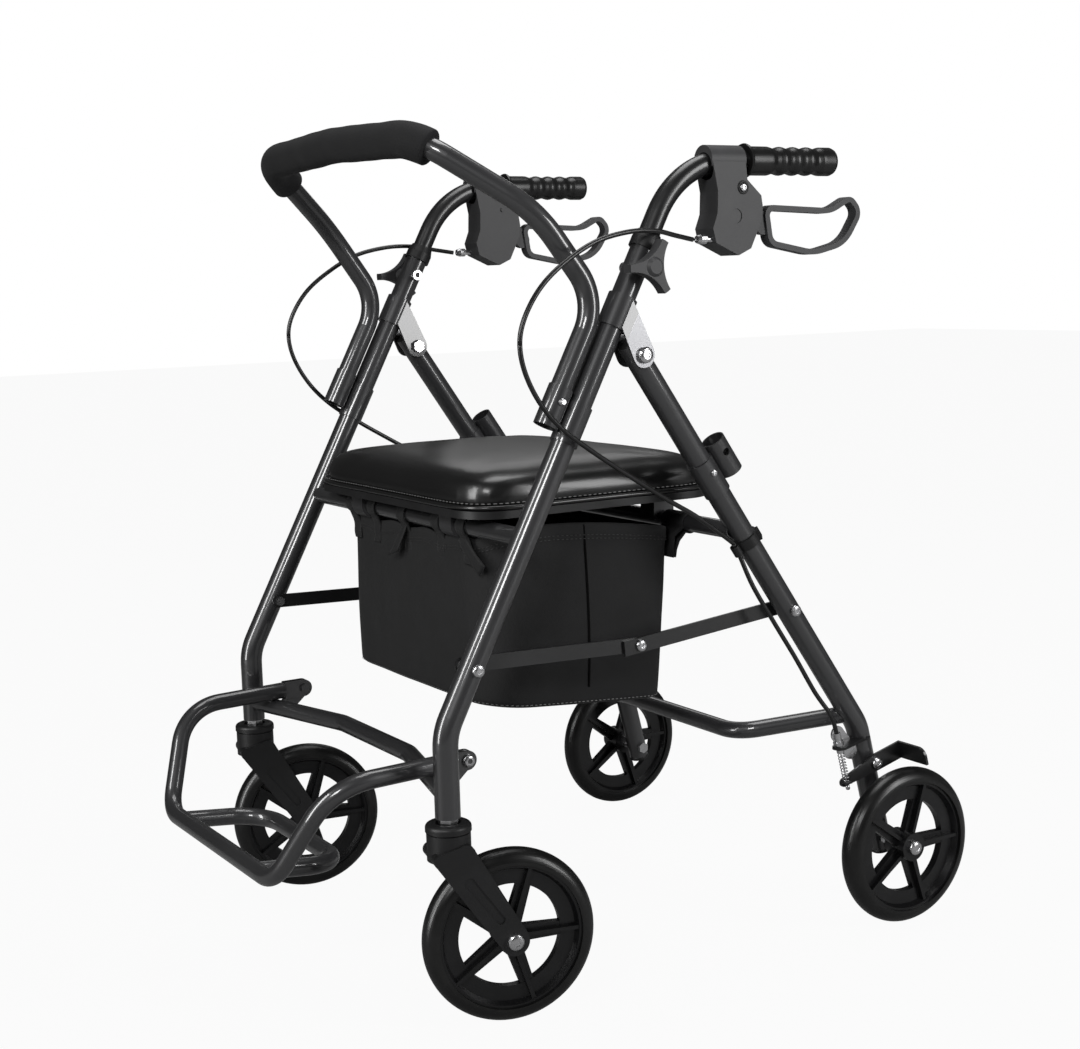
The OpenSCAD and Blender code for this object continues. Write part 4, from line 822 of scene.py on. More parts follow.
@dataclass
class SoftBox:
    """One rectangular studio light."""

    name: str
    place: Vector
    aim: Vector
    width: float
    height: float
    power: float
    fills: bool = True

    def build(self) -> None:
        """Hangs the light in the scene, for highlights alone where it doesn't fill."""
        data = bpy.data.lights.new(self.name, "AREA")
        data.shape = "RECTANGLE"
        data.size, data.size_y, data.energy = self.width, self.height, self.power
        obj = bpy.data.objects.new(self.name, data)
        turn = (self.aim - self.place).to_track_quat("-Z", "Y")
        obj.matrix_world = Matrix.Translation(self.place) @ turn.to_matrix().to_4x4()
        obj.visible_diffuse = self.fills
        bpy.context.scene.collection.objects.link(obj)


@dataclass
class Studio:
    """Camera, lights and the pale floor."""

    camera_place: Triple = (1.70808, -1.03067, 0.73616)
    camera_axes: tuple[Triple, Triple, Triple] = (
        (0.5259, 0.8501, -0.0279), (-0.1043, 0.0970, 0.9898), (0.8441, -0.5176, 0.1396)
    )
    lens: float = 58.395
    floor_half: float = 14.0
    sky: float = 0.05
    floor_tone: float = 0.42
    floor_glow: float = 0.95

    def build(self) -> None:
        """Sets up the whole studio."""
        self.camera()
        self.lights()
        self.floor()

    def camera(self) -> None:
        """Stands the camera where the photograph was taken."""
        data = bpy.data.cameras.new("camera")
        data.lens, data.sensor_width, data.sensor_fit = self.lens, 36.0, "HORIZONTAL"
        data.clip_start, data.clip_end = 0.05, 100.0
        obj = bpy.data.objects.new("camera", data)
        turn = Matrix(self.camera_axes).transposed().to_quaternion().normalized()
        obj.matrix_world = Matrix.Translation(self.camera_place) @ turn.to_matrix().to_4x4()
        scene = bpy.context.scene
        scene.collection.objects.link(obj)
        scene.camera = obj
        scene.view_settings.view_transform = "Standard"

    def lights(self) -> None:
        """Hangs the soft boxes and sets the sky."""
        middle = Vector((0.0, 0.0, 0.5))
        for box in (
            SoftBox("key_light", Vector((1.9, -2.1, 1.9)), middle, 0.7, 0.7, 34),
            SoftBox("top_light", Vector((-0.2, 0.3, 2.8)), middle, 1.2, 1.6, 26),
            SoftBox("strip_left", Vector((0.0, -2.6, 1.2)), middle, 0.55, 2.4, 62, fills=False),
            SoftBox("strip_right", Vector((2.5, 1.5, 1.3)), middle, 0.7, 1.6, 40),
            SoftBox("back_light", Vector((-2.4, 1.5, 1.7)), middle, 1.0, 0.7, 2.2),
        ):
            box.build()
        world = bpy.data.worlds.new("studio")
        world.use_nodes = True
        sheet = NodeSheet(world.node_tree)
        plain = world.node_tree.nodes["Background"]
        sheet.feed(WHITE, plain.inputs["Color"])
        sheet.feed(self.sky, plain.inputs["Strength"])
        seen = sheet.node("ShaderNodeBackground", {"Color": WHITE})
        sheet.show(plain.outputs[0], seen.outputs[0], 1.0, "World Output")
        bpy.context.scene.world = world

    def floor(self) -> None:
        """Lays the floor under the wheels."""
        mesh = bpy.data.meshes.new("floor")
        h = self.floor_half
        mesh.from_pydata([(-h, -h, 0), (h, -h, 0), (h, h, 0), (-h, h, 0)], [], [(0, 1, 2, 3)])
        material = bpy.data.materials.new("floor")
        material.use_nodes = True
        sheet = NodeSheet(material.node_tree)
        shader = material.node_tree.nodes["Principled BSDF"]
        for socket, value in (
            ("Base Color", (self.floor_tone,) * 3 + (1.0,)), ("Roughness", 0.9), ("Specular IOR Level", 0.1),
        ):
            sheet.feed(value, shader.inputs[socket])
        glow = sheet.node("ShaderNodeEmission")
        sheet.show(shader.outputs[0], glow.outputs[0], self.floor_glow, "Material Output")
        mesh.materials.append(material)
        obj = bpy.data.objects.new("floor", mesh)
        bpy.context.scene.collection.objects.link(obj)


# The walker's own pieces


@dataclass
class BrakeCables:
    """Bowden cables from the hand brakes, over the legs, through the clips to the cable stops."""

    diameter: float = 0.005
    wire: float = 0.0016
    split: int = 8
    steps: int = 8
    hook: Triple = (268.73, 243.3, 170.0)
    stop: Triple = (268.73, 228.6, 229.0)

    def route(self) -> list[Vector]:
        """Route of the left cable, the same points as in the CAD source."""
        return [
            mm(*p) for p in (
                (252, 54, 770), (257, 30, 774), (262, 0, 779), (265, -35, 778), (268, -75, 769), (269, -110, 751),
                (271, -140, 728), (272, -160, 700), (272, -167, 674), (271, -161, 645), (269, -143, 614),
                (267, -117, 588), (263, -83, 565), (259, -47, 543), (255, -11, 522), (251, 24, 502), (249, 58, 483),
                (247.5, 102.62, 452.56), (247.5, 106.0, 447.6), (247.5, 112.76, 437.69), (252, 127, 403),
                (256, 152, 361), (260, 178, 319), (263, 203, 277), (267.73, 221.53, 249.1), (268.73, 228.67, 228.5),
            )
        ]

    def build(self) -> None:
        """Makes both cables, each in two stretches that meet on the outer loop."""
        for name, side in SIDES.items():
            line = smooth_path(flipped(self.route(), side), self.steps)
            cut = self.split * self.steps
            upper, lower = line[:cut + 1], line[cut:]
            top = self.stretch(f"brake_cable_{name}_upper", upper)
            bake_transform(top)
            low = self.stretch(f"brake_cable_{name}_lower", lower)
            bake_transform(low)
            for piece, path in ((top, upper), (low, lower)):
                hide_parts(f"brake_cable_{name}")
            self.inner_wire(name, side)

    def stretch(self, name: str, path: Sequence[Vector]) -> bpy.types.Object:
        """One stretch of jacket as a tube."""
        maker = MeshMaker()
        maker.tube(path, self.diameter / 2, 14)
        return maker.piece(name, Finish.CABLE_JACKET)

    def inner_wire(self, name: str, side: float) -> None:
        """Bare wire from the stop down to the hook, with its end nipple."""
        foot, top = flipped([mm(*self.hook), mm(*self.stop)], side)
        along = (top - foot).normalized()
        maker = MeshMaker()
        maker.tube([foot - along * 0.006 + (top - foot) * (k / 8) for k in range(9)], self.wire / 2, 8)
        nipple = [(0.0018, 0), (0.0024, 0.0006), (0.0024, 0.0048), (0.0018, 0.0054)]
        maker.lathe(nipple, facing_place(foot - along * 0.0095, along), 12)
        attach(maker.piece(f"brake_wire_{name}", Finish.BRIGHT_STEEL), "rear_frame")


@dataclass
class BrakeSprings:
    """Return springs between the cable stops and the brake hooks."""

    curls: float = 9.0
    coil: float = 0.0034
    wire: float = 0.0006
    low: float = 0.0021
    high: float = 0.0349
    lean: float = 14.0
    hook: Triple = (268.73, 243.32, 170.0)

    def build(self) -> None:
        """Winds a spring for each side and seats it over the hook."""
        tree = coil_tree()
        for name, side in SIDES.items():
            mesh = tree.grow(
                bpy.data.meshes.new("coil"),
                {"Curls": self.curls, "Radius": self.coil, "Rise": self.high - self.low, "Wire": self.wire,
                 "Finish": Finish.BRIGHT_STEEL.material()},
            )
            foot = flipped([mm(*self.hook)], side)[0]
            turn = Matrix.Rotation(math.radians(self.lean), 4, "X")
            mesh.transform(Matrix.Translation(foot) @ turn @ Matrix.Translation((0, 0, self.low)))
            spring = place_mesh(f"brake_spring_{name}", mesh, Finish.BRIGHT_STEEL)
            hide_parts("brake_springs")
            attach(spring, "rear_frame")
            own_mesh(spring)


@dataclass
class SeatCushion:
    """Crowned vinyl pad with a welt round its foot and a row of stitches."""

    half: float = 0.200
    front: float = -0.184
    rear: float = 0.136
    foot: float = 0.5035
    voxel: float = 0.005
    pressure: float = 4.0
    frames: int = 20
    cap: float = 0.005
    welt: float = 0.0024
    welt_line: tuple[float, float] = (0.001, 0.0032)
    stitch_line: tuple[float, float] = (-0.0006, 0.0078)
    fit: Triple = (0.988, 0.985, 0.96)
    corner: float = 0.3
    bow: float = 0.004
    smoothing: int = 8

    def outline(self, inset: float, height: float, count: int = 240) -> list[Vector]:
        """Rounded outline of the pad at one height.

        Args:
            inset: Distance in from the widest outline.
            height: Height above the board.
            count: Points round the pad.

        Returns:
            The points of the closed outline.
        """
        out = []
        middle, half_y = (self.front + self.rear) / 2, (self.rear - self.front) / 2
        for k in range(count):
            a = 2 * math.pi * (k + 0.5) / count
            u, v = (math.copysign(abs(w) ** self.corner, w) for w in (math.cos(a), math.sin(a)))
            out.append(Vector((
                u * (self.half - inset - self.bow * (1 - v * v)),
                middle + v * (half_y - inset - self.bow * (1 - u * u)), self.foot + height,
            )))
        return out

    def build(self, cad: bpy.types.Object) -> None:
        """Makes the pad, its welt and its stitches.

        Args:
            cad: The CAD node that the pad stands for.
        """
        pad = self.pad(cad)
        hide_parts("seat_cushion")
        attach(pad, "seat")
        maker = MeshMaker()
        maker.tube(self.outline(*self.welt_line), self.welt, 10, closed=True)
        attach(maker.piece("seat_welt", Finish.VINYL), "seat")
        line = self.outline(*self.stitch_line)
        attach(Stitch(0.0062, 0.0044, 0.0011).sew("seat_stitches", [line], Finish.THREAD, True), "seat")

    def pad(self, cad: bpy.types.Object) -> bpy.types.Object:
        """Swells a copy of the CAD pad as a cover over foam.

        Args:
            cad: The CAD node whose mesh is copied.

        Returns:
            The finished pad.
        """
        bm = bmesh.new()
        bm.from_mesh(cad.data)
        bmesh.ops.remove_doubles(bm, verts=bm.verts, dist=1e-5)
        middle_y = (self.front + self.rear) / 2
        for v in bm.verts:
            v.co.x *= self.fit[0]
            v.co.y = middle_y + (v.co.y - middle_y) * self.fit[1]
            v.co.z = self.foot + (v.co.z - self.foot) * self.fit[2]
        mesh = bpy.data.meshes.new("seat_pad")
        bm.to_mesh(mesh)
        bm.free()
        pad = place_mesh("seat_pad", mesh, Finish.VINYL)
        remesh = pad.modifiers.new("remesh", "REMESH")
        remesh.mode, remesh.voxel_size = "VOXEL", self.voxel
        apply_modifiers(pad)
        self.inflate(pad)
        bm = bmesh.new()
        bm.from_mesh(pad.data)
        for _ in range(self.smoothing):
            bmesh.ops.smooth_vert(
                bm, verts=[v for v in bm.verts if v.co.z > self.foot + 0.001], factor=0.5,
                use_axis_x=True, use_axis_y=True, use_axis_z=True,
            )
        bm.to_mesh(pad.data)
        bm.free()
        apply_modifiers(pad, finer=True)
        for face in pad.data.polygons:
            face.use_smooth = True
        return pad

    def inflate(self, pad: bpy.types.Object) -> None:
        """Blows the cover up with cloth simulation, with its underside held and its swelling limited."""
        rest = [v.co.copy() for v in pad.data.vertices]
        held = pad.vertex_groups.new(name="held")
        held.add([v.index for v in pad.data.vertices if v.co.z < self.foot + 0.004], 1.0, "REPLACE")
        cloth = pad.modifiers.new("cloth", "CLOTH")
        settings = cloth.settings
        settings.quality, settings.mass = 6, 0.4
        settings.tension_stiffness = settings.compression_stiffness = 18
        settings.bending_stiffness = 2.0
        settings.use_pressure, settings.uniform_pressure_force = True, self.pressure
        settings.vertex_group_mass = "held"
        settings.effector_weights.gravity = 0.0
        scene = bpy.context.scene
        cloth.point_cache.frame_start, cloth.point_cache.frame_end = 1, self.frames
        for frame in range(1, self.frames + 1):
            scene.frame_set(frame)
        apply_modifiers(pad)
        scene.frame_set(1)
        most = max((v.co - start).length for v, start in zip(pad.data.vertices, rest))
        share = min(1.0, self.cap / most)
        for v, start in zip(pad.data.vertices, rest):
            v.co = start.lerp(v.co, share)


@dataclass
class BackrestFoam:
    """Foam sleeve over the backrest's top bar, cut square at its ends."""

    diameter: float = 0.037
    start: float = 0.119
    length: float = 0.400
    round_edge: float = 0.0025
    step: float = 0.0008
    spacing: float = 0.005

    def build(self) -> None:
        """Sweeps the sleeve along its stretch of the bar."""
        half = [mm(238, -124, 800), mm(177, -221, 873)]
        line = rounded_path(half + [mm(0, -225, 879)] + flipped(half, -1.0)[::-1], [0.060, 0.300, 0.060], 3.0)
        fine = [line[0]]
        for a, b in zip(line, line[1:]):
            count = max(1, round((b - a).length / self.step))
            fine += [a.lerp(b, (k + 1) / count) for k in range(count)]
        path, radii, run, last = [], [], 0.0, -1.0
        for a, b in zip(fine, fine[1:]):
            run += (b - a).length
            along = run - self.start
            edge = min(along, self.length - along)
            if edge >= 0 and (along - last > self.spacing or edge < 1.2 * self.round_edge):
                path.append(b)
                radii.append(self.radius(edge, along))
                last = along
        maker = MeshMaker()
        maker.tube(path, radii, 48)
        foam = maker.piece("backrest_sleeve", Finish.FOAM)
        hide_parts("backrest_foam")
        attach(foam, "front_frame")

    def radius(self, edge: float, along: float) -> float:
        """Radius of the sleeve.

        Args:
            edge: Distance to the nearer end.
            along: Distance along the sleeve.

        Returns:
            The radius there, with a slight swell and a rounded cut edge.
        """
        full = self.diameter / 2 + 0.0002 * math.sin(along * 61.0) + 0.00015 * math.sin(along * 143.0)
        lip = 1 - min(1.0, edge / self.round_edge)
        return full - self.round_edge * (1 - math.sqrt(max(0.0, 1 - lip * lip)))


@dataclass
class Bag:
    """Woven bag that hangs under the seat from straps on the front bar and loops on the rear bar."""

    half: float = 0.171
    front: float = -0.152
    rear: float = 0.067
    slant: float = 0.016
    top: float = 0.462
    bottom: float = 0.284
    front_lift: float = 0.008
    rear_drop: float = 0.012
    rim_rise: float = 0.020
    front_corner: float = 0.048
    rear_corner: float = 0.022
    edge: float = 0.007
    wall: float = 0.0022
    belly: float = 0.006
    crease: float = 0.0022
    ripple: float = 0.0016
    scallop: float = 0.0075
    scallop_wave: float = 0.002
    strap_pitch: float = 0.074
    wall_middle: float = -0.04
    wall_reach: float = 0.115
    floor_middle: float = -0.042
    floor_reach: float = 0.112
    floor_dip: float = 0.005
    floor_span: float = 0.108
    hem: float = 0.014
    hem_lift: float = 0.0012
    seam_y: float = -0.035
    front_bar: tuple[float, float] = (-0.15123, 0.482)
    rear_bar: tuple[float, float] = (0.10797, 0.464)
    straps_at: tuple[tuple[float, float], ...] = (
        (-0.130, 0.004), (-0.076, -0.003), (-0.003, 0.003), (0.076, -0.002), (0.131, 0.003)
    )
    strap_foot: float = 0.442
    strap_width: float = 0.017
    strap_wrap: float = 0.0109
    strap_rows: tuple[float, float] = (0.4435, 0.4505)
    loop_x: float = 0.148
    loop_width: float = 0.040
    loop_wrap: float = 0.0108
    around: int = 144
    rows: int = 30

    def share(self, z: float) -> float:
        """Share of the way from the bottom to the rim."""
        return (z - self.bottom) / (self.top - self.bottom)

    def section(self, height: float, shrink: float) -> list[tuple[Vector, Vector]]:
        """Rounded outline of the bag at one height, with the outward direction at each point.

        Args:
            height: Height above the floor.
            shrink: How far the outline is drawn in.

        Returns:
            Points and outward directions round the bag.
        """
        share = self.share(height)
        rear = self.rear + self.slant * share
        middle, half_y = (self.front + rear) / 2, (rear - self.front) / 2 - shrink
        half_x = self.half - shrink
        corners = [max(0.004, r - 0.4 * shrink) for r in (self.rear_corner,) * 2 + (self.front_corner,) * 2]
        total = 4 * (half_x + half_y) - (2 - math.pi / 2) * sum(corners)
        out = []
        for k in range(self.around):
            s = (k + 0.5) / self.around * total
            for quarter in range(4):
                reach, along = (half_x, half_y) if quarter % 2 == 0 else (half_y, half_x)
                r = corners[quarter]
                run = 2 * along - corners[quarter - 1] - r
                if s < run + math.pi / 2 * r:
                    break
                s -= run + math.pi / 2 * r
            if s < run:
                normal = Vector((1, 0, 0))
                local = Vector((reach, s - along + corners[quarter - 1], 0))
            else:
                b = (s - run) / r
                normal = Vector((math.cos(b), math.sin(b), 0))
                local = Vector((reach - r, along - r, 0)) + normal * r
            turn = Matrix.Rotation(quarter * math.pi / 2, 3, "Z")
            spot = turn @ local
            out.append((Vector((spot.x, middle + spot.y, height)), turn @ normal))
        return out

    def sag(self, p: Vector, out: Vector, share: float) -> Vector:
        """Moves a point of the shell as cloth under its own weight.

        Args:
            p: The point on the plain shell.
            out: Outward direction there.
            share: 0 at the bottom and 1 at the rim.

        Returns:
            The moved point.
        """
        flat_x = 1 - min(1.0, abs(p.x) / self.half) ** 2
        flat_y = 1 - min(1.0, abs(p.y - self.wall_middle) / self.wall_reach) ** 2
        along = flat_x if abs(out.y) > abs(out.x) else flat_y
        belly = self.belly * math.sin(math.pi * min(1.0, share * 0.9 + 0.1)) * along
        creases = self.crease * noise.noise(Vector((p.x * 17, p.y * 19, p.z * 7 + 2.0))) * (0.35 + 0.65 * share)
        ripple = self.ripple * noise.noise(Vector((p.x * 46, p.y * 46, p.z * 13))) * share
        moved = p + out * (belly + creases + ripple)
        scallop = self.scallop - self.scallop_wave * math.cos(p.x * 2 * math.pi / self.strap_pitch)
        moved.z += share ** 4 * scallop * max(0.0, -out.y)
        moved.z += self.rim_rise * share ** 3 * abs(out.x) * math.sin(math.pi * self.along(p) ** 0.55) ** 0.8
        moved.z += self.tilt(p) * (1 - share)
        return moved

    def along(self, p: Vector) -> float:
        """Share of the way from the front wall to the rear wall."""
        return min(1.0, max(0.0, (p.y - self.front) / (self.rear + self.slant - self.front)))

    def tilt(self, p: Vector) -> float:
        """How far the load tips the bottom, up at the front and down at the rear."""
        return self.front_lift - (self.front_lift + self.rear_drop) * self.along(p)

    def build(self) -> None:
        """Makes the shell, its hem and seams, the front straps and the rear loops."""
        shell = self.shell()
        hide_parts("bag")
        self.fold(shell)
        self.seams()
        self.straps()
        self.loops()

    def fold(self, piece: bpy.types.Object) -> None:
        """Bakes the placement of a piece of the bag into its mesh."""
        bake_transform(piece)

    def shell(self) -> bpy.types.Object:
        """The bag itself: walls with a belly, a sagging bottom with a crisp edge and an open rim.

        Returns:
            The shell.
        """
        maker = MeshMaker()
        rings = []
        for i in range(9, 0, -1):
            share = i / 10
            rings.append(maker.ring([
                self.under(p) for p, _ in self.section(self.bottom, self.edge + share * (self.floor_span - self.edge))
            ]))
        for i in range(5):
            a = math.pi / 2 * i / 4
            z = self.bottom + self.edge * (1 - math.cos(a))
            rings.append(maker.ring(self.wall_ring(z, self.edge * (1 - math.sin(a)))))
        first = self.bottom + self.edge
        for i in range(1, self.rows + 1):
            z = first + (self.top - first) * i / self.rows
            rings.append(maker.ring(self.wall_ring(z, 0.0, self.hem_lift if z > self.top - self.hem else 0.0)))
        maker.skin(rings)
        maker.cap(rings[0])
        shell = maker.piece("bag_shell", Finish.NYLON)
        thick = shell.modifiers.new("wall", "SOLIDIFY")
        thick.thickness, thick.offset = self.wall, -1.0
        apply_modifiers(shell, finer=True)
        return shell

    def wall_ring(self, z: float, shrink: float, lift: float = 0.0) -> list[Vector]:
        """Sagged outline of the shell.

        Args:
            z: Height of the plain outline.
            shrink: How far it is drawn in.
            lift: How far it stands off the wall.

        Returns:
            The points round the bag.
        """
        return [self.sag(p, out, self.share(z)) + out * lift for p, out in self.section(z, shrink)]

    def under(self, p: Vector) -> Vector:
        """Moves a point of the bottom as the load tips it and draws it down."""
        flat_x = max(0.0, 1 - (p.x / self.half) ** 2)
        flat_y = max(0.0, 1 - ((p.y - self.floor_middle) / self.floor_reach) ** 2)
        return p + Vector((0, 0, self.tilt(p) - self.floor_dip * flat_x * flat_y))

    def seam_line(self, side: float) -> list[Vector]:
        """Line of the seam down a side wall, a little outside it.

        Args:
            side: Which side wall.

        Returns:
            Points from the rim down.
        """
        out = Vector((side, 0, 0))
        line = []
        for i in range(25):
            z = self.top - 0.002 - (self.top - self.bottom - 0.022) * i / 24
            line.append(self.sag(Vector((side * self.half, self.seam_y, z)), out, self.share(z)) + out * 0.0006)
        return line

    def seams(self) -> None:
        """Sewn seams down the side walls, and rows of stitches along the hem and the bottom edge."""
        maker = MeshMaker()
        for side in SIDES.values():
            maker.band(self.seam_line(side), Vector((0, 1, 0)), 0.0018, 0.0016)
        self.fold(maker.piece("bag_side_seams", Finish.SEAM))
        stitch = Stitch(0.0054, 0.0034, 0.0009)
        for name, heights, lift, finish in (
            ("hem", (self.top - 0.0105, self.top - 0.0135), 0.0014, Finish.DARK_THREAD),
            ("edge", (self.bottom + 0.004,), 0.0004, Finish.THREAD),
        ):
            shrink = 0.0006 if name == "edge" else 0.0
            lines = [self.wall_ring(z, shrink, lift) for z in heights]
            self.fold(stitch.sew(f"bag_{name}_stitches", lines, finish, True))

    def wrap(
        self, bar: tuple[float, float], x: float, radius: float, start: float, sweep: float, count: int
    ) -> list[Vector]:
        """Runs webbing round a bar that lies across the walker.

        Args:
            bar: The bar's y and z.
            x: Place of the webbing along the bar.
            radius: Radius of its middle line.
            start: Angle where it meets the bar, in degrees.
            sweep: How far it goes round, in degrees.
            count: Stretches of the line.

        Returns:
            Points round the bar.
        """
        line = []
        for k in range(count + 1):
            a = math.radians(start - sweep * k / count)
            line.append(Vector((x, bar[0] + radius * math.cos(a), bar[1] + radius * math.sin(a))))
        return line

    def straps(self) -> None:
        """Webbing loops round the front seat bar, one with a hanging tail and one drawn to the near corner."""
        maker = MeshMaker()
        rows = []
        for x, lean in self.straps_at:
            path = []
            for k in range(7):
                y = self.front - 0.0012 - 0.0006 * math.sin(k * 1.1 + x * 50)
                path.append(Vector((x + lean * (6 - k) / 6, y, self.strap_foot + 0.0035 * k)))
            path += self.wrap(self.front_bar, x, self.strap_wrap, 236, 318, 24)
            maker.band(path, Vector((1, 0, 0)), self.strap_width, 0.0018)
            for z in self.strap_rows:
                rows.append([Vector((x + lean + s * 0.006, self.front - 0.0024, z)) for s in (-1, 0, 1)])
        tail = [Vector((-0.004 - 0.0013 * k, self.front - 0.0036 - 0.0016 * k, 0.470 - 0.0045 * k)) for k in range(8)]
        maker.band(tail, Vector((0.96, -0.02, 0.28)).normalized(), 0.014, 0.0015, 1.7)
        drawn = [
            Vector((0.124 + 0.032 * u, self.front - 0.0042 + 0.006 * u ** 2, 0.4715 - 0.034 * u ** 0.9))
            for u in (k / 9 for k in range(10))
        ]
        maker.band(drawn, Vector((0.66, 0.05, 0.75)).normalized(), 0.015, 0.0015)
        straps = maker.piece("bag_front_straps", Finish.NYLON)
        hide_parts("bag_straps")
        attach(straps, "front_frame")
        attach(Stitch(0.0036, 0.0026, 0.0008).sew("strap_stitches", rows, Finish.DARK_THREAD), "front_frame")

    def loops(self) -> None:
        """Wide cloth loops that carry the rim on the rear seat bar."""
        for name, side in SIDES.items():
            maker = MeshMaker()
            x = side * self.loop_x
            path = [Vector((x, y, z)) for y, z in ((0.0842, 0.428), (0.0848, 0.440), (0.0862, 0.452))]
            path += self.wrap(self.rear_bar, x, self.loop_wrap, 205, 330, 28)
            path += [Vector((x, y, z)) for y, z in ((0.0925, 0.446), (0.0885, 0.437), (0.0868, 0.428))]
            maker.band(path, Vector((1, 0, 0)), self.loop_width, 0.0016)
            loop = maker.piece(f"bag_rear_loop_{name}", Finish.NYLON)
            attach(loop, "rear_frame")


@dataclass
class Fasteners:
    """Screw heads over the plain bolts, in one mesh for each body."""

    housing: Triple = (259.5, 114.0, 822.0)
    caster_stem: Triple = (244.0, -248.0, 89.0)
    caster_end: Triple = (24.2, 58.0, 0.0)
    caster_turn: float = -14.0
    # Size of the black rings that paint the shade in the housing screws' recesses
    ring_radius: float = 0.0058
    ring_wire: float = 0.0013

    def head(self) -> bpy.types.Object:
        """Pan head of unit radius with a six-sided recess.

        Returns:
            An object that is instanced and then removed.
        """
        maker = MeshMaker()
        rings = []
        for r, h in ((0.98, -0.05), (1.0, 0.02), (1.0, 0.34), (0.95, 0.47), (0.82, 0.58), (0.62, 0.65), (0.5, 0.67)):
            rings.append(maker.ring([Vector((r * cos, r * sin, h)) for cos, sin in circle(24)]))
        for scale, h in ((1.0, 0.67), (0.96, 0.42)):
            row = []
            for k, (cos, sin) in enumerate(circle(24)):
                off_flat = math.pi / 12 * k - math.pi / 3 * round(k / 4)
                reach = 0.40 * scale / math.cos(off_flat)
                row.append(Vector((reach * cos, reach * sin, h)))
            rings.append(maker.ring(row))
        maker.barrel(rings)
        return maker.piece("screw_head", Finish.BRIGHT_STEEL, smooth=False)

    def places(self) -> dict[str, list[tuple[Vector, Vector, float]]]:
        """Place, facing and radius of each head, by body."""
        found: dict[str, list[tuple[Vector, Vector, float]]] = {}
        turn = Matrix.Rotation(math.radians(self.caster_turn), 3, "Z")
        for name, side in SIDES.items():
            for body, place, radius in (
                ("front_frame", (259.9, -14, 656), 0.0084),
                ("front_frame", (256.9, -216.1, 360), 0.0064),
                ("rear_frame", (256.9, 181.1, 370), 0.0064),
                ("rear_frame", (302.1, 313.4, 89), 0.0084),
                ("rear_frame", (265.6, 290.32, 183), 0.0064),
                ("rear_frame", (258.4, 72.3, 529.5), 0.0036),
                (f"rear_link_{name}", (230.2, -5, 352.5), 0.0062),
                (f"handle_{name}", self.housing, 0.0044),
                ("footrest", (205.6, -202, 256.4), 0.0064),
            ):
                spot = flipped([mm(*place)], side)[0]
                found.setdefault(body, []).append((spot, Vector((side, 0, 0)), radius))
            axle = turn @ mm(*self.caster_end) + flipped([mm(*self.caster_stem)], side)[0]
            found[f"caster_{name}"] = [(axle, turn @ Vector((1, 0, 0)), 0.0084)]
        return found

    def build(self) -> None:
        """Grows the heads on each body."""
        tree, head = screw_tree(), self.head()
        for body, heads in self.places().items():
            carrier = bpy.data.meshes.new("points")
            carrier.from_pydata([tuple(p) for p, _, _ in heads], [], [])
            for label, kind in (("facing", "FLOAT_VECTOR"), ("size", "FLOAT")):
                carrier.attributes.new(label, kind, "POINT")
            carrier.attributes["facing"].data.foreach_set("vector", [c for _, way, _ in heads for c in way])
            carrier.attributes["size"].data.foreach_set("value", [radius for _, _, radius in heads])
            mesh = tree.grow(carrier, {"Head": head, "Finish": Finish.BRIGHT_STEEL.material()})
            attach(place_mesh(f"screws_{body}", mesh, Finish.BRIGHT_STEEL, smooth=False), body)
        bpy.data.objects.remove(head)
        # Painted shade: black rings that darken the recess round each housing screw
        self.rings()

    def rings(self) -> None:
        """Black ring round each housing's screw: a dark piece that paints the shade in the screw's recess."""
        for name, side in SIDES.items():
            maker = MeshMaker()
            middle = flipped([mm(*self.housing)], side)[0]
            place = Matrix.Translation(middle) @ Matrix.Rotation(side * math.pi / 2, 4, "Y")
            line = [place @ Vector((self.ring_radius * cos, self.ring_radius * sin, 0)) for cos, sin in circle(32)]
            maker.tube(line, self.ring_wire, 10, closed=True)
            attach(maker.piece(f"screw_ring_{name}", Finish.BLACK_PLASTIC), f"handle_{name}")


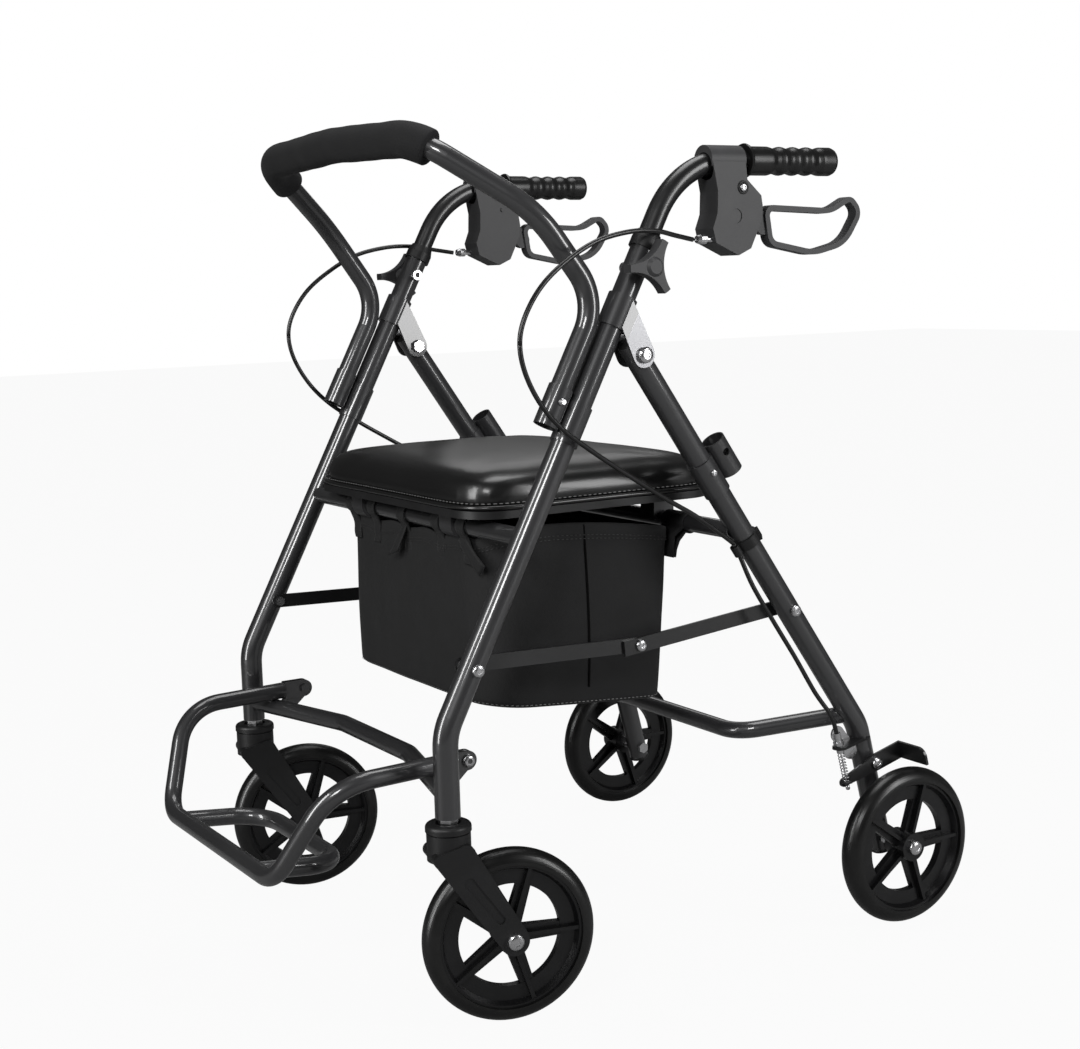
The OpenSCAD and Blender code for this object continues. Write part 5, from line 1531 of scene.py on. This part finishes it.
@dataclass
class TubeCaps:
    """Moulded plugs in the open ends of the rear legs."""

    hinge_reach: float = 0.0193
    lean: float = 34.3

    def build(self) -> None:
        """Sets a domed plug on the top and the foot of each rear leg."""
        tilt = math.radians(self.lean)
        up = Vector((0, -math.sin(tilt), math.cos(tilt)))
        maker = MeshMaker()
        for side in SIDES.values():
            hinge = mm(side * 244, -14, 656)
            dome = [(r, math.sqrt(self.hinge_reach ** 2 - r ** 2)) for r in (0.0122, 0.0105, 0.008, 0.005, 0.002)]
            maker.lathe([(0.0122, 0.0148)] + dome, facing_place(hinge, up), 32)
            axle, bend = mm(side * 244, 313.4, 89), mm(side * 244, 280, 225)
            down = (axle - bend).normalized()
            plug = [(0.0126, -0.001), (0.0132, 0.0), (0.0132, 0.002), (0.0118, 0.0034), (0.004, 0.0038)]
            maker.lathe(plug, facing_place(axle + down * 0.015, down), 32)
        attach(maker.piece("rear_leg_plugs", Finish.BLACK_PLASTIC), "rear_frame")


class CarriedOver(Enum):
    """CAD nodes that stay, by finish. A star stands for both sides."""

    FRAME_PAINT = (
        "front_leg_* front_cross_tube front_seat_bar front_sockets backrest_bar rear_leg_* rear_seat_bar "
        "rear_cross_tube rear_sockets footrest footrest_hinges"
    )
    BRIGHT_STEEL = "front_bolts cable_stops rear_bolts cable_adjuster_* snap_button_* caster_bolts_*"
    BRACKET = "hinge_brackets"
    BLACK_PAINT = "handle_tube_* front_link_* rear_link_* brake_arm_*"
    BLACK_PLASTIC = "leg_collars cable_clips seat_base caster_fork_*"
    GREY_PLASTIC = "brake_housing_* knob_* brake_lever_* seat_clips"
    WHEEL_PLASTIC = "front_wheel_* rear_wheel_*"
    TYRE = "front_tyre_* rear_tyre_*"
    GRIP_RUBBER = "grip_*"

    def names(self) -> list[str]:
        """Names of the nodes, each once."""
        return list(dict.fromkeys(name.replace("*", side) for name in self.value.split() for side in SIDES))

    def dress(self, nodes: dict[str, bpy.types.Object]) -> None:
        """Gives the nodes their material.

        Args:
            nodes: The CAD nodes by name.
        """
        material = Finish[self.name].material()
        for name in self.names():
            data = nodes[name].data
            data.materials.clear()
            data.materials.append(material)
        LOG.info("%s on %d nodes", self.name.lower(), len(self.names()))


def main() -> None:
    """Builds the studio, the cords, the soft goods and the fittings."""
    logging.basicConfig(level=logging.INFO, format="%(name)s: %(message)s")
    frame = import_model()
    nodes = frame["nodes"]
    Studio().build()
    BrakeCables().build()
    BrakeSprings().build()
    for group in CarriedOver:
        group.dress(nodes)
    SeatCushion().build(nodes["seat_cushion"])
    Bag().build()
    BackrestFoam().build()
    Fasteners().build()
    TubeCaps().build()


if __name__ == "__main__":
    main()
